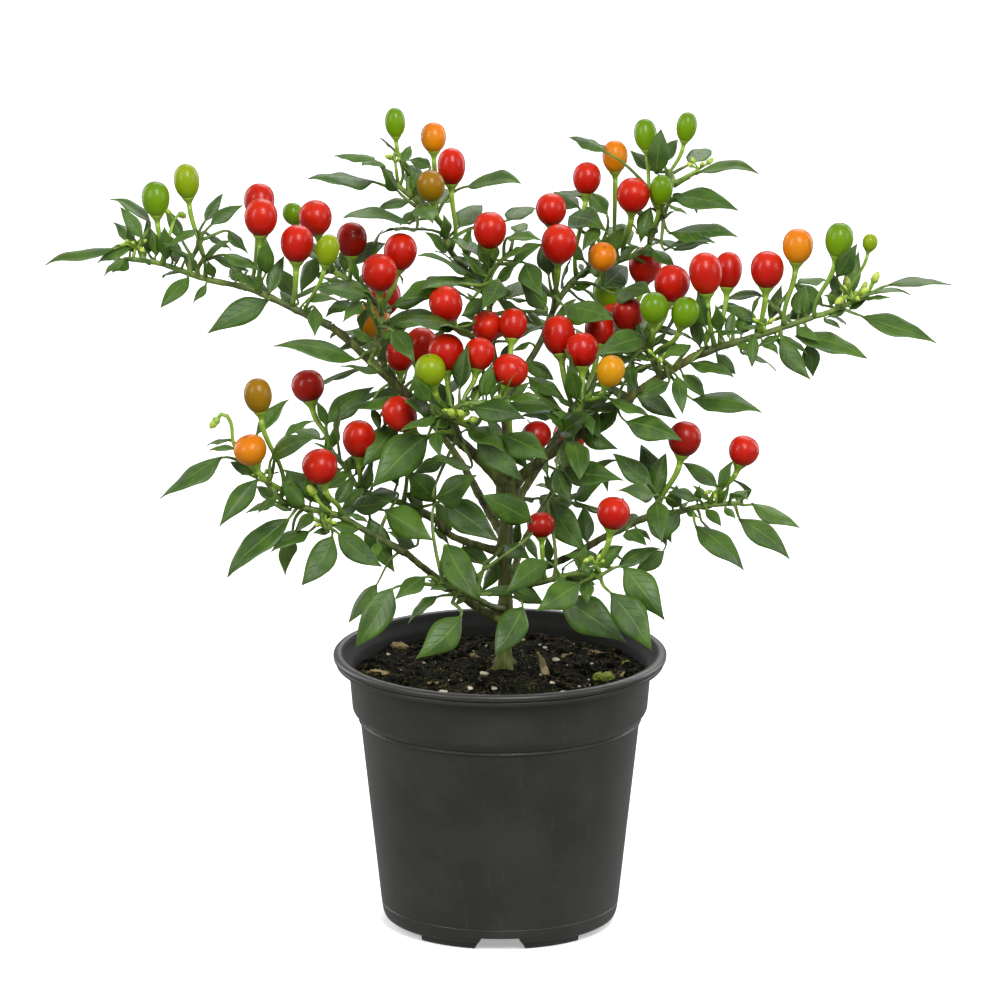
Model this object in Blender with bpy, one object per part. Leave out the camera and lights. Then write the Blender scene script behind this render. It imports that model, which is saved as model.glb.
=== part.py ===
"""An ornamental chilli pepper plant in a 13 cm nursery pot.

The pot is turned, the woody stem is a union of tapered tubes, and every leafy shoot is one closed body:
its twig is extruded ring by ring, and its petioles, leaves and unripe fruits are extruded from the twig's
own side faces. Ripe fruits are bodies of their own that stand on the twigs.

Places and sizes in the plan are millimetres, with x to the right, y away from the front and z up from the
ground under the pot's centre. Meshes are scaled to metres when a body is finished.
"""

import bisect
import math
from collections import namedtuple

import bmesh
import bpy
from mathutils import Matrix, Vector
from mathutils.bvhtree import BVHTree

MM = 0.001
GAP = 0.35

# Pot, radii and heights
POT_SEGMENTS = 32
FLOOR_UNDER, FLOOR_TOP = 5.2, 6.8
FOOT_HEIGHT = 2.1
FOOT_END = math.radians(45.0)
NOTCH_HEIGHT = 5.0
NOTCH_TOP_WIDTH, NOTCH_FOOT_WIDTH = 14.6, 21.0
HOLE_RADIUS = 5.0
HOLE_RING = 26.0
HOLES_IN_RING = 4
POT_OUTSIDE = (
    (39.6, 0.0), (43.3, 0.0), (43.6, FOOT_HEIGHT), (45.3, 3.0), (46.0, 5.2), (54.9, 82.4), (57.8, 86.0),
    (59.3, 103.8), (64.8, 104.2), (65.4, 107.2), (63.6, 109.1),
)
POT_INSIDE = (
    (61.4, 108.6), (60.6, 106.2), (57.9, 103.6), (56.6, 87.4), (53.6, 83.2), (44.9, 9.0), (43.2, FLOOR_TOP),
    (0.0, FLOOR_TOP),
)

# Soil
SOIL_SEGMENTS = 24
SOIL_EDGE_HEIGHT = 101.0
SOIL_POCKET_DEPTH = 13.5
SOIL_BUMP = 0.8

# Stem
TRUNK_FOOT_RADIUS = 4.2
TRUNK_PLACE = (1.5, 0.0)
STEM_SIDES = 8
STEM_STRETCH = 13.0

# Twigs, leaves and fruits
TWIG_SIDES = 5
TWIG_RADIUS, TWIG_TIP_RADIUS = 1.5, 0.85
TWIG_STRETCH = 6.0
NODE_HALF = 1.1
NODE_SPACING = 2.3
PETIOLE_HALF = 0.5
LEAF_HALF_THICKNESS = 0.4
LEAF_WIDTH = 0.42
LEAF_MOST_WIDTH = 14.0
LEAF_ARCH = 0.09
LEAF_FOLD = 0.22
BLADE = ((0.0, 0.12), (0.3, 1.0), (0.66, 0.72), (1.0, 0.05))
FRUIT_SIDES = 6
STALK_RADIUS = 0.85
BERRY = ((-0.5, 0.42), (-0.32, 0.82), (0.02, 1.0), (0.34, 0.8), (0.5, 0.3))
SIGHT_FALL = math.tan(math.radians(15.2))

RIPENESS = {
    "green": (0.10, 0.30, 0.02),
    "lime": (0.28, 0.50, 0.02),
    "olive": (0.33, 0.22, 0.02),
    "gold": (0.75, 0.35, 0.02),
    "orange": (0.75, 0.22, 0.02),
    "red": (0.60, 0.02, 0.005),
    "dark": (0.38, 0.012, 0.008),
    "maroon": (0.15, 0.006, 0.008),
}
Shoot = namedtuple("Shoot", "path leaves fruits")

# The woody stem: name, foot radius, tip radius and the knots of each branch
STEM = (
    ("trunk", TRUNK_FOOT_RADIUS, 3.0, (
        (1.5, 0, 88), (1.5, 0, 104), (2, 0, 123), (2, 0, 150), (3, 0, 165), (3, 0, 179),
    )),
    ("leader", 2.6, 1.7, ((3, 0, 172), (2, 0, 192), (2, 1, 203), (0, 3, 217))),
    ("left_limb", 2.9, 1.9, (
        (3, 0, 175), (-8, -3, 188), (-27, -7, 206), (-46, -10, 225), (-60, -12, 239), (-66, -12, 244),
    )),
    ("right_limb", 2.9, 1.9, ((3, 0, 174), (12, -2, 184), (35, -7, 202), (54, -9, 217), (77, -10, 232))),
    ("low_left", 2.2, 1.6, ((2, 0, 121), (-8, -6, 128), (-25, -18, 144), (-37, -28, 157))),
    ("mid_left", 2.0, 1.6, ((2, 0, 149), (-8, -4, 153), (-19, -7, 158), (-26, -10, 166))),
    ("low_right", 2.2, 1.6, ((2, 0, 133), (12, -4, 142), (28, -11, 151), (44, -16, 162))),
    ("back_left", 2.2, 1.7, ((2, 0, 155), (-6, 13, 165), (-14, 28, 176), (-22, 40, 185))),
    ("back_right", 2.2, 1.7, ((2, 0, 162), (10, 13, 172), (20, 27, 185), (28, 38, 196))),
    ("back_low", 2.0, 1.6, ((2, 0, 128), (5, 12, 137), (9, 25, 146), (14, 36, 152))),
)

# The leafy shoots. path: knots of the twig. leaves: blade's base, its tip, and how far it turns to face
# outwards (0 lies level, 1 stands upright). fruits: berry's centre, width, height, the stalk's foot,
# ripeness, and 1 where the ripe fruit is a body of its own.
FRONT_SHOOTS = {
    "left_tip": Shoot(
        path=[
            (-66, -12, 244), (-79, -11, 250), (-97, -9, 258), (-115, -8, 262), (-132, -8, 268),
            (-145, -8, 270),
        ],
        leaves=[
            (-150, -8, 274, -177, -14, 269, 0.15), (-146, -14, 272, -154, -24, 267, 0.2),
            (-136, -2, 283, -152, 8, 290, 0.1), (-139, -12, 279, -148, -4, 290, 0.8),
            (-143, 2, 273, -151, 14, 279, 0.2), (-115, 4, 282, -108, 12, 291, 0.3),
            (-113, -6, 283, -100, 2, 289, 0.5), (-118, -16, 284, -130, -26, 279, 0.2),
            (-118, -14, 270, -128, -24, 278, 0.2), (-121, -14, 264, -132, -26, 255, 0.6),
            (-90, -14, 255, -114, -24, 244, 0.75), (-116, 8, 277, -105, 16, 267, 0.3),
            (-106, 2, 279, -98, -8, 272, 0.3), (-108, -16, 274, -93, -24, 269, 0.4),
            (-97, -2, 262, -89, -14, 255, 0.3), (-72, -20, 254, -72, -32, 245, 0.6),
            (-124, -2, 276, -131, 6, 287, 0.5), (-115, -14, 272, -104, -22, 281, 0.4),
            (-98, 0, 263, -113, 8, 266, 0.3), (-93, -16, 261, -106, -24, 267, 0.4),
            (-90, 2, 253, -84, 12, 266, 0.6), (-79, 6, 250, -90, 18, 260, 0.6),
            (-137, -2, 270, -138, 6, 282, 0.4),
        ],
        fruits=[
            (-134, -8, 294, 11, 14, -132, -8, 269, "green", 0),
            (-122, -4, 300, 10, 14, -117, -7, 267, "lime", 0),
            (-94, 16, 287, 12, 14, -93, 8, 267, "red", 0),
            (-93, -10, 287, 13, 15, -93, -9, 262, "red", 1),
            (-79, -12, 277, 13, 15, -79, -11, 253, "red", 1),
            (-67, -18, 276, 9, 13, -74, -13, 256, "lime", 0),
        ],
    ),
    "left_inner": Shoot(
        path=[
            (-51, -9, 230), (-47, 0, 237), (-47, 10, 245), (-54, 21, 250), (-63, 29, 254),
            (-70, 34, 257),
        ],
        leaves=[
            (-62, 26, 260, -45, 36, 265, 0.2), (-44, -3, 244, -21, -16, 247, 0.4),
            (-42, -18, 244, -33, -31, 234, 0.8), (-47, -29, 230, -62, -39, 235, 0.2),
            (-72, 10, 254, -50, -8, 256, 0.3), (-56, -26, 234, -88, -39, 243, 0.3),
            (-67, 44, 255, -79, 60, 260, 0.3), (-55, 34, 249, -43, 52, 251, 0.2),
            (-59, 5, 250, -68, -10, 247, 0.3),
            (-54, -16, 255, -61, -28, 250, 0.6), (-52, -18, 258, -71, -30, 264, 0.4),
            (-45, 20, 262, -38, 34, 249, 0.4),
        ],
        fruits=[
            (-81, 31, 278, 8, 9, -71, 34, 257, "green", 0),
            (-72, 13, 281, 13, 14, -70, 31, 256, "red", 1),
            (-58, 29, 268, 12, 14, -60, 26, 253, "dark", 0),
            (-39, 10, 268, 13, 15, -45, 10, 244, "red", 1),
            (-47, -3, 263, 14, 15, -47, 8, 244, "red", 1),
        ],
    ),
    "middle": Shoot(
        path=[(0, 3, 217), (-4, 8, 236), (-4, 12, 248), (-4, 12, 256), (-3, 12, 264)],
        leaves=[
            (3, 7, 275, 16, -5, 277, 0.3), (6, 22, 273, 11, 36, 272, 0.2),
            (10, -5, 268, 17, -22, 258, 0.7), (-8, 26, 260, -19, 41, 256, 0.2),
            (0, -7, 261, -7, -24, 254, 0.5), (-12, -5, 253, -23, -17, 262, 0.3),
            (2, 26, 245, 12, 43, 248, 0.3),
            (-23, -4, 259, -40, -16, 255, 0.5), (-7, 0, 252, -15, -12, 248, 0.6),
            (-5, 16, 252, -12, 26, 260, 0.5), (-1, 0, 266, 11, -10, 275, 0.3),
            (-17, -14, 244, -39, -26, 249, 0.3), (11, -10, 223, 25, -20, 217, 0.4),
            (18, 4, 247, 8, 16, 254, 0.6),
        ],
        fruits=[
            (-4, 5, 278, 13, 15, -4, 12, 264, "red", 1),
            (-21, -17, 254, 13, 15, -8, 2, 235, "red", 1),
            (-5, -10, 243, 12, 13, -4, 5, 230, "red", 1),
        ],
    ),
    "top_left": Shoot(
        path=[
            (-4, 12, 252), (-10, 26, 251), (-14, 32, 256), (-20, 35, 263), (-23, 38, 272),
            (-31, 38, 280), (-38, 38, 286), (-40, 38, 289),
        ],
        leaves=[
            (-49, 42, 297, -65, 56, 295, 0.1), (-46, 28, 299, -54, 14, 302, 0.1),
            (-49, 35, 290, -75, 24, 294, 0.2), (-42, 49, 300, -47, 60, 301, 0.1),
            (-42, 21, 298, -46, 4, 295, 0.5), (-35, 49, 294, -28, 66, 294, 0.2),
            (-13, 32, 289, 8, 18, 294, 0.3), (-35, 24, 276, -61, 7, 283, 0.2),
            (-33, 18, 275, -41, 4, 278, 0.1), (-31, 18, 285, -26, -4, 283, 0.5),
            (-16, 38, 271, -7, 56, 275, 0.4), (3, 52, 270, 14, 70, 270, 0.2),
            (-13, 14, 259, -32, -7, 271, 0.3), (-17, 10, 258, -31, -10, 258, 0.3),
            (-27, 60, 274, -19, 80, 275, 0.2),
            (-40, 32, 287, -47, 24, 299, 0.5), (-27, 46, 293, -36, 54, 294, 0.5),
            (-38, 44, 295, -35, 52, 300, 0.3), (-23, 18, 276, -32, 6, 289, 0.5),
        ],
        fruits=[
            (-41, 38, 313, 8, 12, -40, 38, 289, "green", 0),
            (-26, 46, 305, 10, 12, -28, 42, 278, "orange", 1),
            (-19, 35, 296, 11, 15, -20, 37, 268, "red", 1),
            (-27, 24, 291, 11, 13, -25, 35, 272, "olive", 1),
        ],
    ),
    "top_right": Shoot(
        path=[
            (1, 2, 209), (8, 8, 219), (16, 18, 230), (22, 29, 242), (30, 36, 251), (39, 40, 254),
            (47, 43, 256), (56, 43, 260), (59, 43, 264), (63, 43, 276), (67, 43, 286), (71, 43, 289),
        ],
        leaves=[
            (41, 47, 299, 27, 61, 301, 0.1), (76, 40, 292, 101, 25, 296, 0.2),
            (68, 32, 285, 93, 14, 284, 0.4), (66, 18, 285, 73, 0, 286, 0.2),
            (66, 32, 270, 93, 18, 272, 0.3), (64, 29, 264, 84, 14, 271, 0.2),
            (59, 18, 266, 64, 0, 267, 0.2), (32, 54, 279, 23, 72, 276, 0.1),
            (27, 47, 273, 42, 22, 273, 0.4), (25, 7, 247, 44, -14, 247, 0.5),
            (45, 11, 251, 59, -11, 257, 0.5), (40, 47, 244, 50, 68, 247, 0.7),
            (74, 54, 292, 83, 76, 292, 0.2), (51, 61, 258, 44, 83, 259, 0.3),
            (18, 32, 231, 8, 54, 230, 0.3),
            (19, 16, 257, 17, 28, 268, 0.7), (31, 38, 279, 21, 50, 282, 0.5),
            (39, 24, 275, 32, 12, 268, 0.6), (42, 42, 275, 35, 54, 281, 0.5),
            (59, 38, 279, 55, 28, 267, 0.8), (61, 48, 291, 51, 58, 297, 0.4),
            (64, 46, 295, 70, 56, 302, 0.4), (59, 38, 291, 66, 30, 304, 0.5),
            (33, 20, 262, 23, 10, 272, 0.5),
        ],
        fruits=[
            (57, 50, 305, 9, 13, 64, 43, 285, "green", 0),
            (73, 43, 310, 8, 12, 65, 43, 286, "green", 0),
            (63, 29, 288, 9, 13, 58, 41, 263, "green", 0),
            (20, 22, 282, 12, 13, 22, 29, 244, "red", 1),
            (23, 7, 272, 14, 16, 22, 25, 243, "red", 1),
            (34, 40, 290, 11, 13, 31, 36, 252, "red", 1),
            (45, 47, 297, 10, 13, 44, 43, 256, "orange", 1),
            (52, 29, 286, 13, 14, 47, 41, 256, "red", 1),
            (40, 14, 265, 11, 12, 36, 36, 254, "orange", 1),
        ],
    ),
    "right_tip": Shoot(
        path=[
            (77, -10, 232), (92, -10, 237), (102, -10, 240), (122, -10, 247), (128, -10, 249),
            (137, -10, 253),
        ],
        leaves=[
            (102, 2, 253, 87, 12, 247, 0.3), (85, 2, 248, 100, 14, 239, 0.2),
            (84, -16, 243, 95, -26, 244, 0.2), (99, -18, 242, 98, -26, 231, 0.95),
            (74, -16, 230, 91, -26, 227, 0.3), (109, -16, 240, 121, -26, 226, 0.8),
            (115, -12, 240, 143, -20, 233, 0.4), (141, -12, 248, 170, -18, 239, 0.4),
            (151, -10, 260, 176, -10, 260, 0.2), (145, -4, 255, 160, 6, 252, 0.2),
            (141, -16, 256, 152, -26, 259, 0.2), (134, -6, 253, 140, 4, 270, 0.3),
            (126, -4, 250, 114, 8, 256, 0.5), (116, 8, 256, 129, 20, 253, 0.2),
            (94, 0, 230, 108, 14, 219, 0.3),
            (101, -4, 243, 87, 8, 247, 0.5), (105, 0, 243, 110, 10, 255, 0.7),
            (112, -2, 244, 126, 10, 249, 0.6), (78, -2, 233, 74, 8, 244, 0.5),
            (133, -4, 253, 129, 6, 261, 0.4),
        ],
        fruits=[
            (132, -10, 278, 11, 14, 129, -10, 251, "green", 0),
            (144, -10, 277, 6, 7, 139, -10, 254, "lime", 0),
            (80, -12, 265, 13, 17, 81, -10, 235, "red", 1),
            (89, 4, 262, 11, 15, 83, -8, 236, "red", 1),
            (104, -10, 266, 13, 15, 103, -10, 242, "red", 1),
            (116, -8, 275, 12, 14, 109, -10, 243, "orange", 1),
        ],
    ),
    "right_inner": Shoot(
        path=[(63, -10, 223), (59, -2, 229), (55, 7, 232), (50, 17, 229)],
        leaves=[
            (62, -17, 237, 47, -26, 235, 0.5), (57, -10, 239, 37, -24, 235, 0.6),
            (69, -24, 227, 71, -36, 215, 0.8), (75, -22, 217, 102, -34, 215, 0.4),
            (64, 12, 236, 74, 26, 229, 0.2), (49, -22, 208, 71, -36, 204, 0.5),
            (47, 29, 226, 39, 43, 233, 0.3),
            (74, -26, 240, 63, -36, 237, 0.5), (66, -26, 225, 54, -36, 220, 0.6),
            (50, -14, 229, 53, -26, 221, 0.6), (69, -24, 237, 79, -32, 248, 0.5),
        ],
        fruits=[
            (60, -19, 253, 11, 13, 63, -12, 229, "green", 0),
            (72, -22, 252, 11, 13, 66, -14, 228, "green", 0),
            (67, 7, 256, 14, 15, 59, 0, 231, "red", 1),
            (50, 5, 244, 12, 15, 53, 10, 229, "dark", 1),
        ],
    ),
    "centre_right": Shoot(
        path=[(26, -6, 194), (28, -18, 206), (32, -22, 215), (36, -25, 221)],
        leaves=[
            (23, -22, 203, 36, -35, 215, 0.6), (39, -18, 219, 50, -30, 225, 0.3),
            (24, -28, 191, 48, -42, 190, 0.6), (22, -25, 190, 28, -40, 179, 0.9),
            (29, -5, 208, 39, -22, 201, 0.4),
        ],
        fruits=[
            (39, 8, 237, 12, 14, 35, -18, 220, "red", 0),
            (32, -15, 235, 13, 14, 34, -22, 219, "red", 1),
            (43, -32, 231, 11, 13, 40, -25, 213, "gold", 1),
            (23, -8, 239, 13, 16, 25, -12, 222, "red", 1),
        ],
    ),
    "centre_left": Shoot(
        path=[
            (-15, -5, 194), (-17, -22, 205), (-19, -32, 213), (-15, -38, 219), (-4, -38, 220),
            (4, -35, 220),
        ],
        leaves=[
            (-11, -46, 220, 10, -59, 219, 0.6), (-9, -32, 205, 9, -49, 191, 0.9),
            (-28, -27, 204, -50, -43, 187, 0.9), (-11, -24, 190, -29, -40, 197, 0.3),
            (-25, -32, 180, -9, -49, 194, 0.6), (1, -38, 207, 19, -54, 201, 0.6),
            (-27, -27, 215, -37, -40, 221, 0.6), (-12, -22, 218, 0, -14, 223, 0.3),
            (-27, -36, 220, -34, -46, 233, 0.5), (-25, -40, 209, -23, -50, 201, 0.7),
            (3, -20, 215, 22, -30, 214, 0.3), (5, -26, 198, 11, -34, 192, 0.6),
            (-10, -24, 241, -24, -30, 248, 0.4),
        ],
        fruits=[
            (-27, -38, 233, 12, 13, -23, -30, 210, "lime", 0),
            (-21, -30, 238, 14, 15, -20, -32, 215, "red", 1),
            (-8, -32, 238, 12, 13, -14, -38, 219, "red", 1),
            (-39, -22, 211, 13, 15, -23, -19, 200, "red", 1),
            (5, -14, 245, 11, 13, 5, -32, 220, "red", 1),
            (4, -35, 232, 14, 13, 2, -36, 221, "red", 1),
            (14, -27, 204, 11, 12, 5, -34, 218, "dark", 0),
        ],
    ),
    "low_left": Shoot(
        path=[
            (-37, -28, 157), (-51, -32, 166), (-62, -34, 173), (-74, -37, 177), (-84, -38, 180),
            (-89, -39, 186), (-93, -39, 192),
        ],
        leaves=[
            (-108, -41, 199, -132, -51, 185, 0.3), (-94, -48, 192, -109, -60, 176, 0.7),
            (-82, -44, 175, -106, -57, 155, 0.4), (-74, -41, 169, -89, -53, 164, 0.35),
            (-81, -28, 162, -84, -18, 145, 0.1), (-65, -48, 169, -77, -62, 153, 0.8),
            (-63, -51, 171, -46, -67, 162, 0.85), (-95, -34, 206, -82, -25, 218, 0.4),
            (-84, -41, 207, -72, -34, 212, 0.3), (-89, -46, 200, -72, -57, 211, 0.6),
            (-87, -51, 186, -94, -62, 182, 0.4), (-104, -34, 204, -114, -28, 200, 0.2),
            (-68, -23, 181, -58, -9, 185, 0.5),
            (-68, -28, 176, -85, -18, 188, 0.7), (-64, -30, 177, -57, -22, 186, 0.7),
            (-88, -34, 179, -99, -40, 176, 0.4), (-40, -20, 179, -52, -30, 180, 0.4),
        ],
        fruits=[
            (-94, -39, 223, 11, 14, -90, -39, 187, "olive", 1),
            (-97, -46, 203, 13, 12, -87, -40, 183, "orange", 1),
            (-70, -41, 195, 14, 14, -63, -37, 175, "red", 1),
        ],
    ),
    "mid_left": Shoot(
        path=[(-26, -10, 166), (-39, -13, 173), (-54, -13, 178), (-61, -9, 187), (-68, -4, 193)],
        leaves=[
            (-51, -24, 170, -41, -40, 152, 0.9), (-45, -24, 173, -26, -40, 165, 0.85),
            (-68, -2, 202, -49, 9, 214, 0.5), (-58, -22, 174, -42, -33, 179, 0.6),
            (-70, 7, 193, -82, 20, 194, 0.3), (-61, 4, 182, -50, 18, 186, 0.4),
            (-25, -20, 175, -37, -30, 191, 0.75), (-41, -14, 216, -61, -26, 212, 0.3),
            (-40, -12, 204, -54, -24, 190, 0.6), (-33, -24, 158, -44, -34, 167, 0.5),
        ],
        fruits=[
            (-75, 2, 216, 13, 13, -68, -4, 193, "maroon", 1),
            (-55, -18, 200, 13, 15, -54, -13, 179, "red", 1),
            (-39, -4, 230, 11, 13, -38, -9, 173, "red", 0),
        ],
    ),
    "low_right": Shoot(
        path=[(44, -16, 162), (59, -18, 169), (69, -20, 171), (80, -21, 174), (95, -21, 175)],
        leaves=[
            (59, -23, 183, 44, -13, 193, 0.5), (62, -13, 176, 55, 0, 193, 0.4),
            (60, -29, 180, 46, -42, 186, 0.6), (61, -31, 179, 63, -47, 166, 0.9),
            (76, -29, 168, 95, -44, 154, 0.4), (93, -26, 170, 113, -39, 157, 0.6),
            (98, -21, 175, 117, -29, 167, 0.4), (85, -16, 180, 71, -5, 187, 0.5),
            (90, -10, 182, 97, 5, 170, 0.3), (66, -8, 178, 74, 8, 169, 0.3),
            (49, -26, 165, 57, -39, 163, 0.5),
            (29, -12, 174, 41, -20, 184, 0.5), (77, -26, 178, 65, -34, 183, 0.5),
            (34, -14, 157, 33, -4, 170, 0.7), (63, -14, 185, 55, -6, 194, 0.5),
        ],
        fruits=[
            (72, -18, 200, 13, 14, 63, -18, 171, "dark", 1),
            (95, -21, 196, 12, 12, 82, -21, 175, "red", 1),
        ],
    ),
    "front_low": Shoot(
        path=[(3, -2, 135), (7, -9, 138), (16, -25, 144), (28, -42, 152), (39, -55, 156)],
        leaves=[
            (19, -38, 156, 2, -52, 147, 0.85), (31, -62, 154, 14, -78, 147, 0.7),
            (23, -42, 142, 49, -55, 128, 0.75), (43, -69, 152, 59, -82, 132, 0.9),
            (48, -60, 160, 64, -70, 141, 0.8), (46, -50, 157, 63, -42, 162, 0.6),
            (41, -48, 163, 48, -38, 156, 0.3), (20, -20, 175, 34, -38, 160, 0.8),
            (38, -44, 156, 48, -34, 161, 0.5), (40, -46, 158, 25, -40, 159, 0.4),
            (4, -14, 139, 18, -26, 135, 0.6),
        ],
        fruits=[
            (44, -55, 180, 13, 13, 38, -54, 159, "red", 1),
            (16, -28, 168, 11, 10, 18, -28, 147, "dark", 1),
        ],
    ),
    "front_left": Shoot(
        path=[(1, -2, 127), (-3, -10, 130), (-9, -24, 137), (-16, -36, 144), (-23, -43, 149)],
        leaves=[
            (-42, -48, 148, -56, -58, 127, 0.85), (-29, -53, 154, -41, -65, 148, 0.5),
            (-15, -53, 138, -33, -65, 124, 0.85), (-21, -38, 163, -8, -55, 145, 0.9),
            (9, -43, 139, -2, -58, 124, 0.9), (-22, -31, 178, -0, -46, 166, 0.8),
            (12, -29, 170, -7, -43, 184, 0.8),
            (-12, -22, 152, -23, -36, 146, 0.6), (2, -14, 156, 12, -28, 154, 0.6),
        ],
        fruits=[
        ],
    ),
}

# Shoots at the back grow by one rule, a leaf every golden angle up the twig: knots of the twig, number of
# leaves, turn of the first leaf, and for each fruit the share of the twig it stands at and its ripeness.
BACK_SHOOTS = {
    "back_left": (((-22, 40, 185), (-32, 48, 196), (-44, 53, 209), (-52, 56, 222)), 11, 0.4,
                  ((0.45, "red"), (0.72, "orange"), (0.93, "red"))),
    "back_right": (((28, 38, 196), (38, 48, 208), (48, 55, 221), (54, 59, 236)), 11, 2.0,
                   ((0.40, "red"), (0.68, "green"), (0.90, "red"))),
    "back_low": (((14, 36, 152), (18, 46, 157), (22, 55, 161), (24, 63, 168)), 8, 1.1, ((0.70, "red"),)),
}
GOLDEN_ANGLE = 2.39996

# Smaller leaves inside the crown, by the same rule: how many, and the turn of the first
INNER_LEAVES = {
    "middle": (7, 0.5), "centre_left": (6, 1.0), "centre_right": (7, 2.2), "left_inner": (6, 0.2),
    "right_inner": (6, 1.4), "top_right": (5, 2.6), "top_left": (3, 1.9), "mid_left": (4, 0.9),
    "front_left": (3, 0.4), "low_right": (3, 2.0),
}


def material(name, colour, roughness):
    """A plain non-metal finish, made once for each name."""
    found = bpy.data.materials.get(name)
    if found:
        return found
    made = bpy.data.materials.new(name)
    made.use_nodes = True
    shader = made.node_tree.nodes["Principled BSDF"]
    shader.inputs["Base Color"].default_value = (*colour, 1.0)
    shader.inputs["Roughness"].default_value = roughness
    shader.inputs["Metallic"].default_value = 0.0
    made.diffuse_color = (*colour, 1.0)
    return made


def finish(bm, name, look, sharp_degrees=40.0):
    """Turns a mesh in millimetres into a named object in metres."""
    bm.transform(Matrix.Scale(MM, 4))
    mesh = bpy.data.meshes.new(name)
    bm.to_mesh(mesh)
    bm.free()
    mesh.shade_smooth()
    mesh.set_sharp_from_angle(angle=math.radians(sharp_degrees))
    mesh.materials.append(look)
    body = bpy.data.objects.new(name, mesh)
    bpy.context.collection.objects.link(body)
    return body


def turned(profile, segments):
    """A closed body of revolution about Z; the profile's ends lie on the axis or meet each other."""
    bm = bmesh.new()
    verts = [bm.verts.new((radius, 0.0, height)) for radius, height in profile]
    edges = [bm.edges.new(pair) for pair in zip(verts, verts[1:])]
    bmesh.ops.spin(
        bm, geom=verts + edges, cent=(0, 0, 0), axis=(0, 0, 1), angle=2 * math.pi, steps=segments,
        use_merge=True,
    )
    bmesh.ops.remove_doubles(bm, verts=bm.verts, dist=1e-4)
    bmesh.ops.recalc_face_normals(bm, faces=bm.faces)
    return bm


def cut(body, cutter):
    """Subtracts a helper from a body for good, and removes the helper."""
    combine(body, cutter, "DIFFERENCE")


def combine(body, helper, operation):
    boolean = body.modifiers.new(operation.lower(), "BOOLEAN")
    boolean.operation = operation
    boolean.object = helper
    with bpy.context.temp_override(object=body, active_object=body):
        bpy.ops.object.modifier_apply(modifier=boolean.name)
    bpy.data.objects.remove(helper)


class Path:
    """A smooth line through a few knots, walked by its length in millimetres."""

    STEPS = 12

    def __init__(self, knots):
        knots = [Vector(knot) for knot in knots]
        run = [2 * knots[0] - knots[1], *knots, 2 * knots[-1] - knots[-2]]
        self.points = []
        for a, b, c, d in zip(run, run[1:], run[2:], run[3:]):
            for step in range(self.STEPS):
                u = step / self.STEPS
                bend = (2 * a - 5 * b + 4 * c - d) * u**2 + (3 * b - a - 3 * c + d) * u**3
                self.points.append(b + 0.5 * ((c - a) * u + bend))
        self.points.append(knots[-1])
        self.reach = [0.0]
        for p, q in zip(self.points, self.points[1:]):
            self.reach.append(self.reach[-1] + (q - p).length)
        self.length = self.reach[-1]

    def at(self, t):
        t = min(max(t, 0.0), self.length)
        i = min(max(bisect.bisect_right(self.reach, t), 1), len(self.points) - 1)
        share = (t - self.reach[i - 1]) / (self.reach[i] - self.reach[i - 1])
        return self.points[i - 1].lerp(self.points[i], share)

    def heading(self, t):
        t = min(max(t, 0.6), self.length - 0.6)
        return (self.at(t + 0.6) - self.at(t - 0.6)).normalized()

    def nearest(self, place):
        i = min(range(len(self.points)), key=lambda k: (self.points[k] - place).length)
        return self.reach[i]


def ring(centre, heading, radius, sides, start):
    """The corners of a regular section, counterclockwise about its heading."""
    across = (start - start.dot(heading) * heading).normalized()
    up = heading.cross(across)
    angles = [2 * math.pi * k / sides for k in range(sides)]
    return [centre + radius * (math.cos(a) * across + math.sin(a) * up) for a in angles]


def start_body(bm, first, second):
    """A short closed stretch between two sections. Returns its side faces and its end face."""
    low = [bm.verts.new(corner) for corner in first]
    high = [bm.verts.new(corner) for corner in second]
    bm.faces.new(low[::-1])
    sides = []
    for i in range(len(low)):
        j = (i + 1) % len(low)
        sides.append(bm.faces.new((low[i], low[j], high[j], high[i])))
    return sides, bm.faces.new(high)


def extrude_to(bm, face, section):
    """Extrudes a face to a section with as many corners. Returns the new side faces and the end face."""
    end = bmesh.ops.extrude_discrete_faces(bm, faces=[face])["faces"][0]
    corners = list(end.verts)
    count = len(corners)
    turn = min(
        range(count),
        key=lambda k: sum((corners[i].co - section[(i + k) % count]).length for i in range(count)),
    )
    for i, corner in enumerate(corners):
        corner.co = section[(i + turn) % count]
    sides = {side for edge in end.edges for side in edge.link_faces} - {end}
    return list(sides), end


def grow(bm, face, sections):
    for section in sections:
        face = extrude_to(bm, face, section)[1]
    return face


def skin(sections):
    """The outer surface through a row of sections, to test whether things meet."""
    count = len(sections[0])
    points = [corner for section in sections for corner in section]
    faces = [list(range(count))[::-1], [len(points) - count + k for k in range(count)]]
    for low in range(0, len(points) - count, count):
        for i in range(count):
            j = (i + 1) % count
            faces.append([low + i, low + j, low + count + j, low + count + i])
    return BVHTree.FromPolygons(points, faces)


def line_of_sight(distance):
    """A step away from the front, down a line that falls as a viewer's sight does."""
    return Vector((0.0, distance, -SIGHT_FALL * distance))


class Space:
    """Everything that stands already, so that what grows next keeps clear of it."""

    def __init__(self):
        self.skins = []

    def add(self, tree):
        self.skins.append(tree)

    def is_free(self, tree):
        return not any(tree.overlap(other) for other in self.skins)


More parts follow.
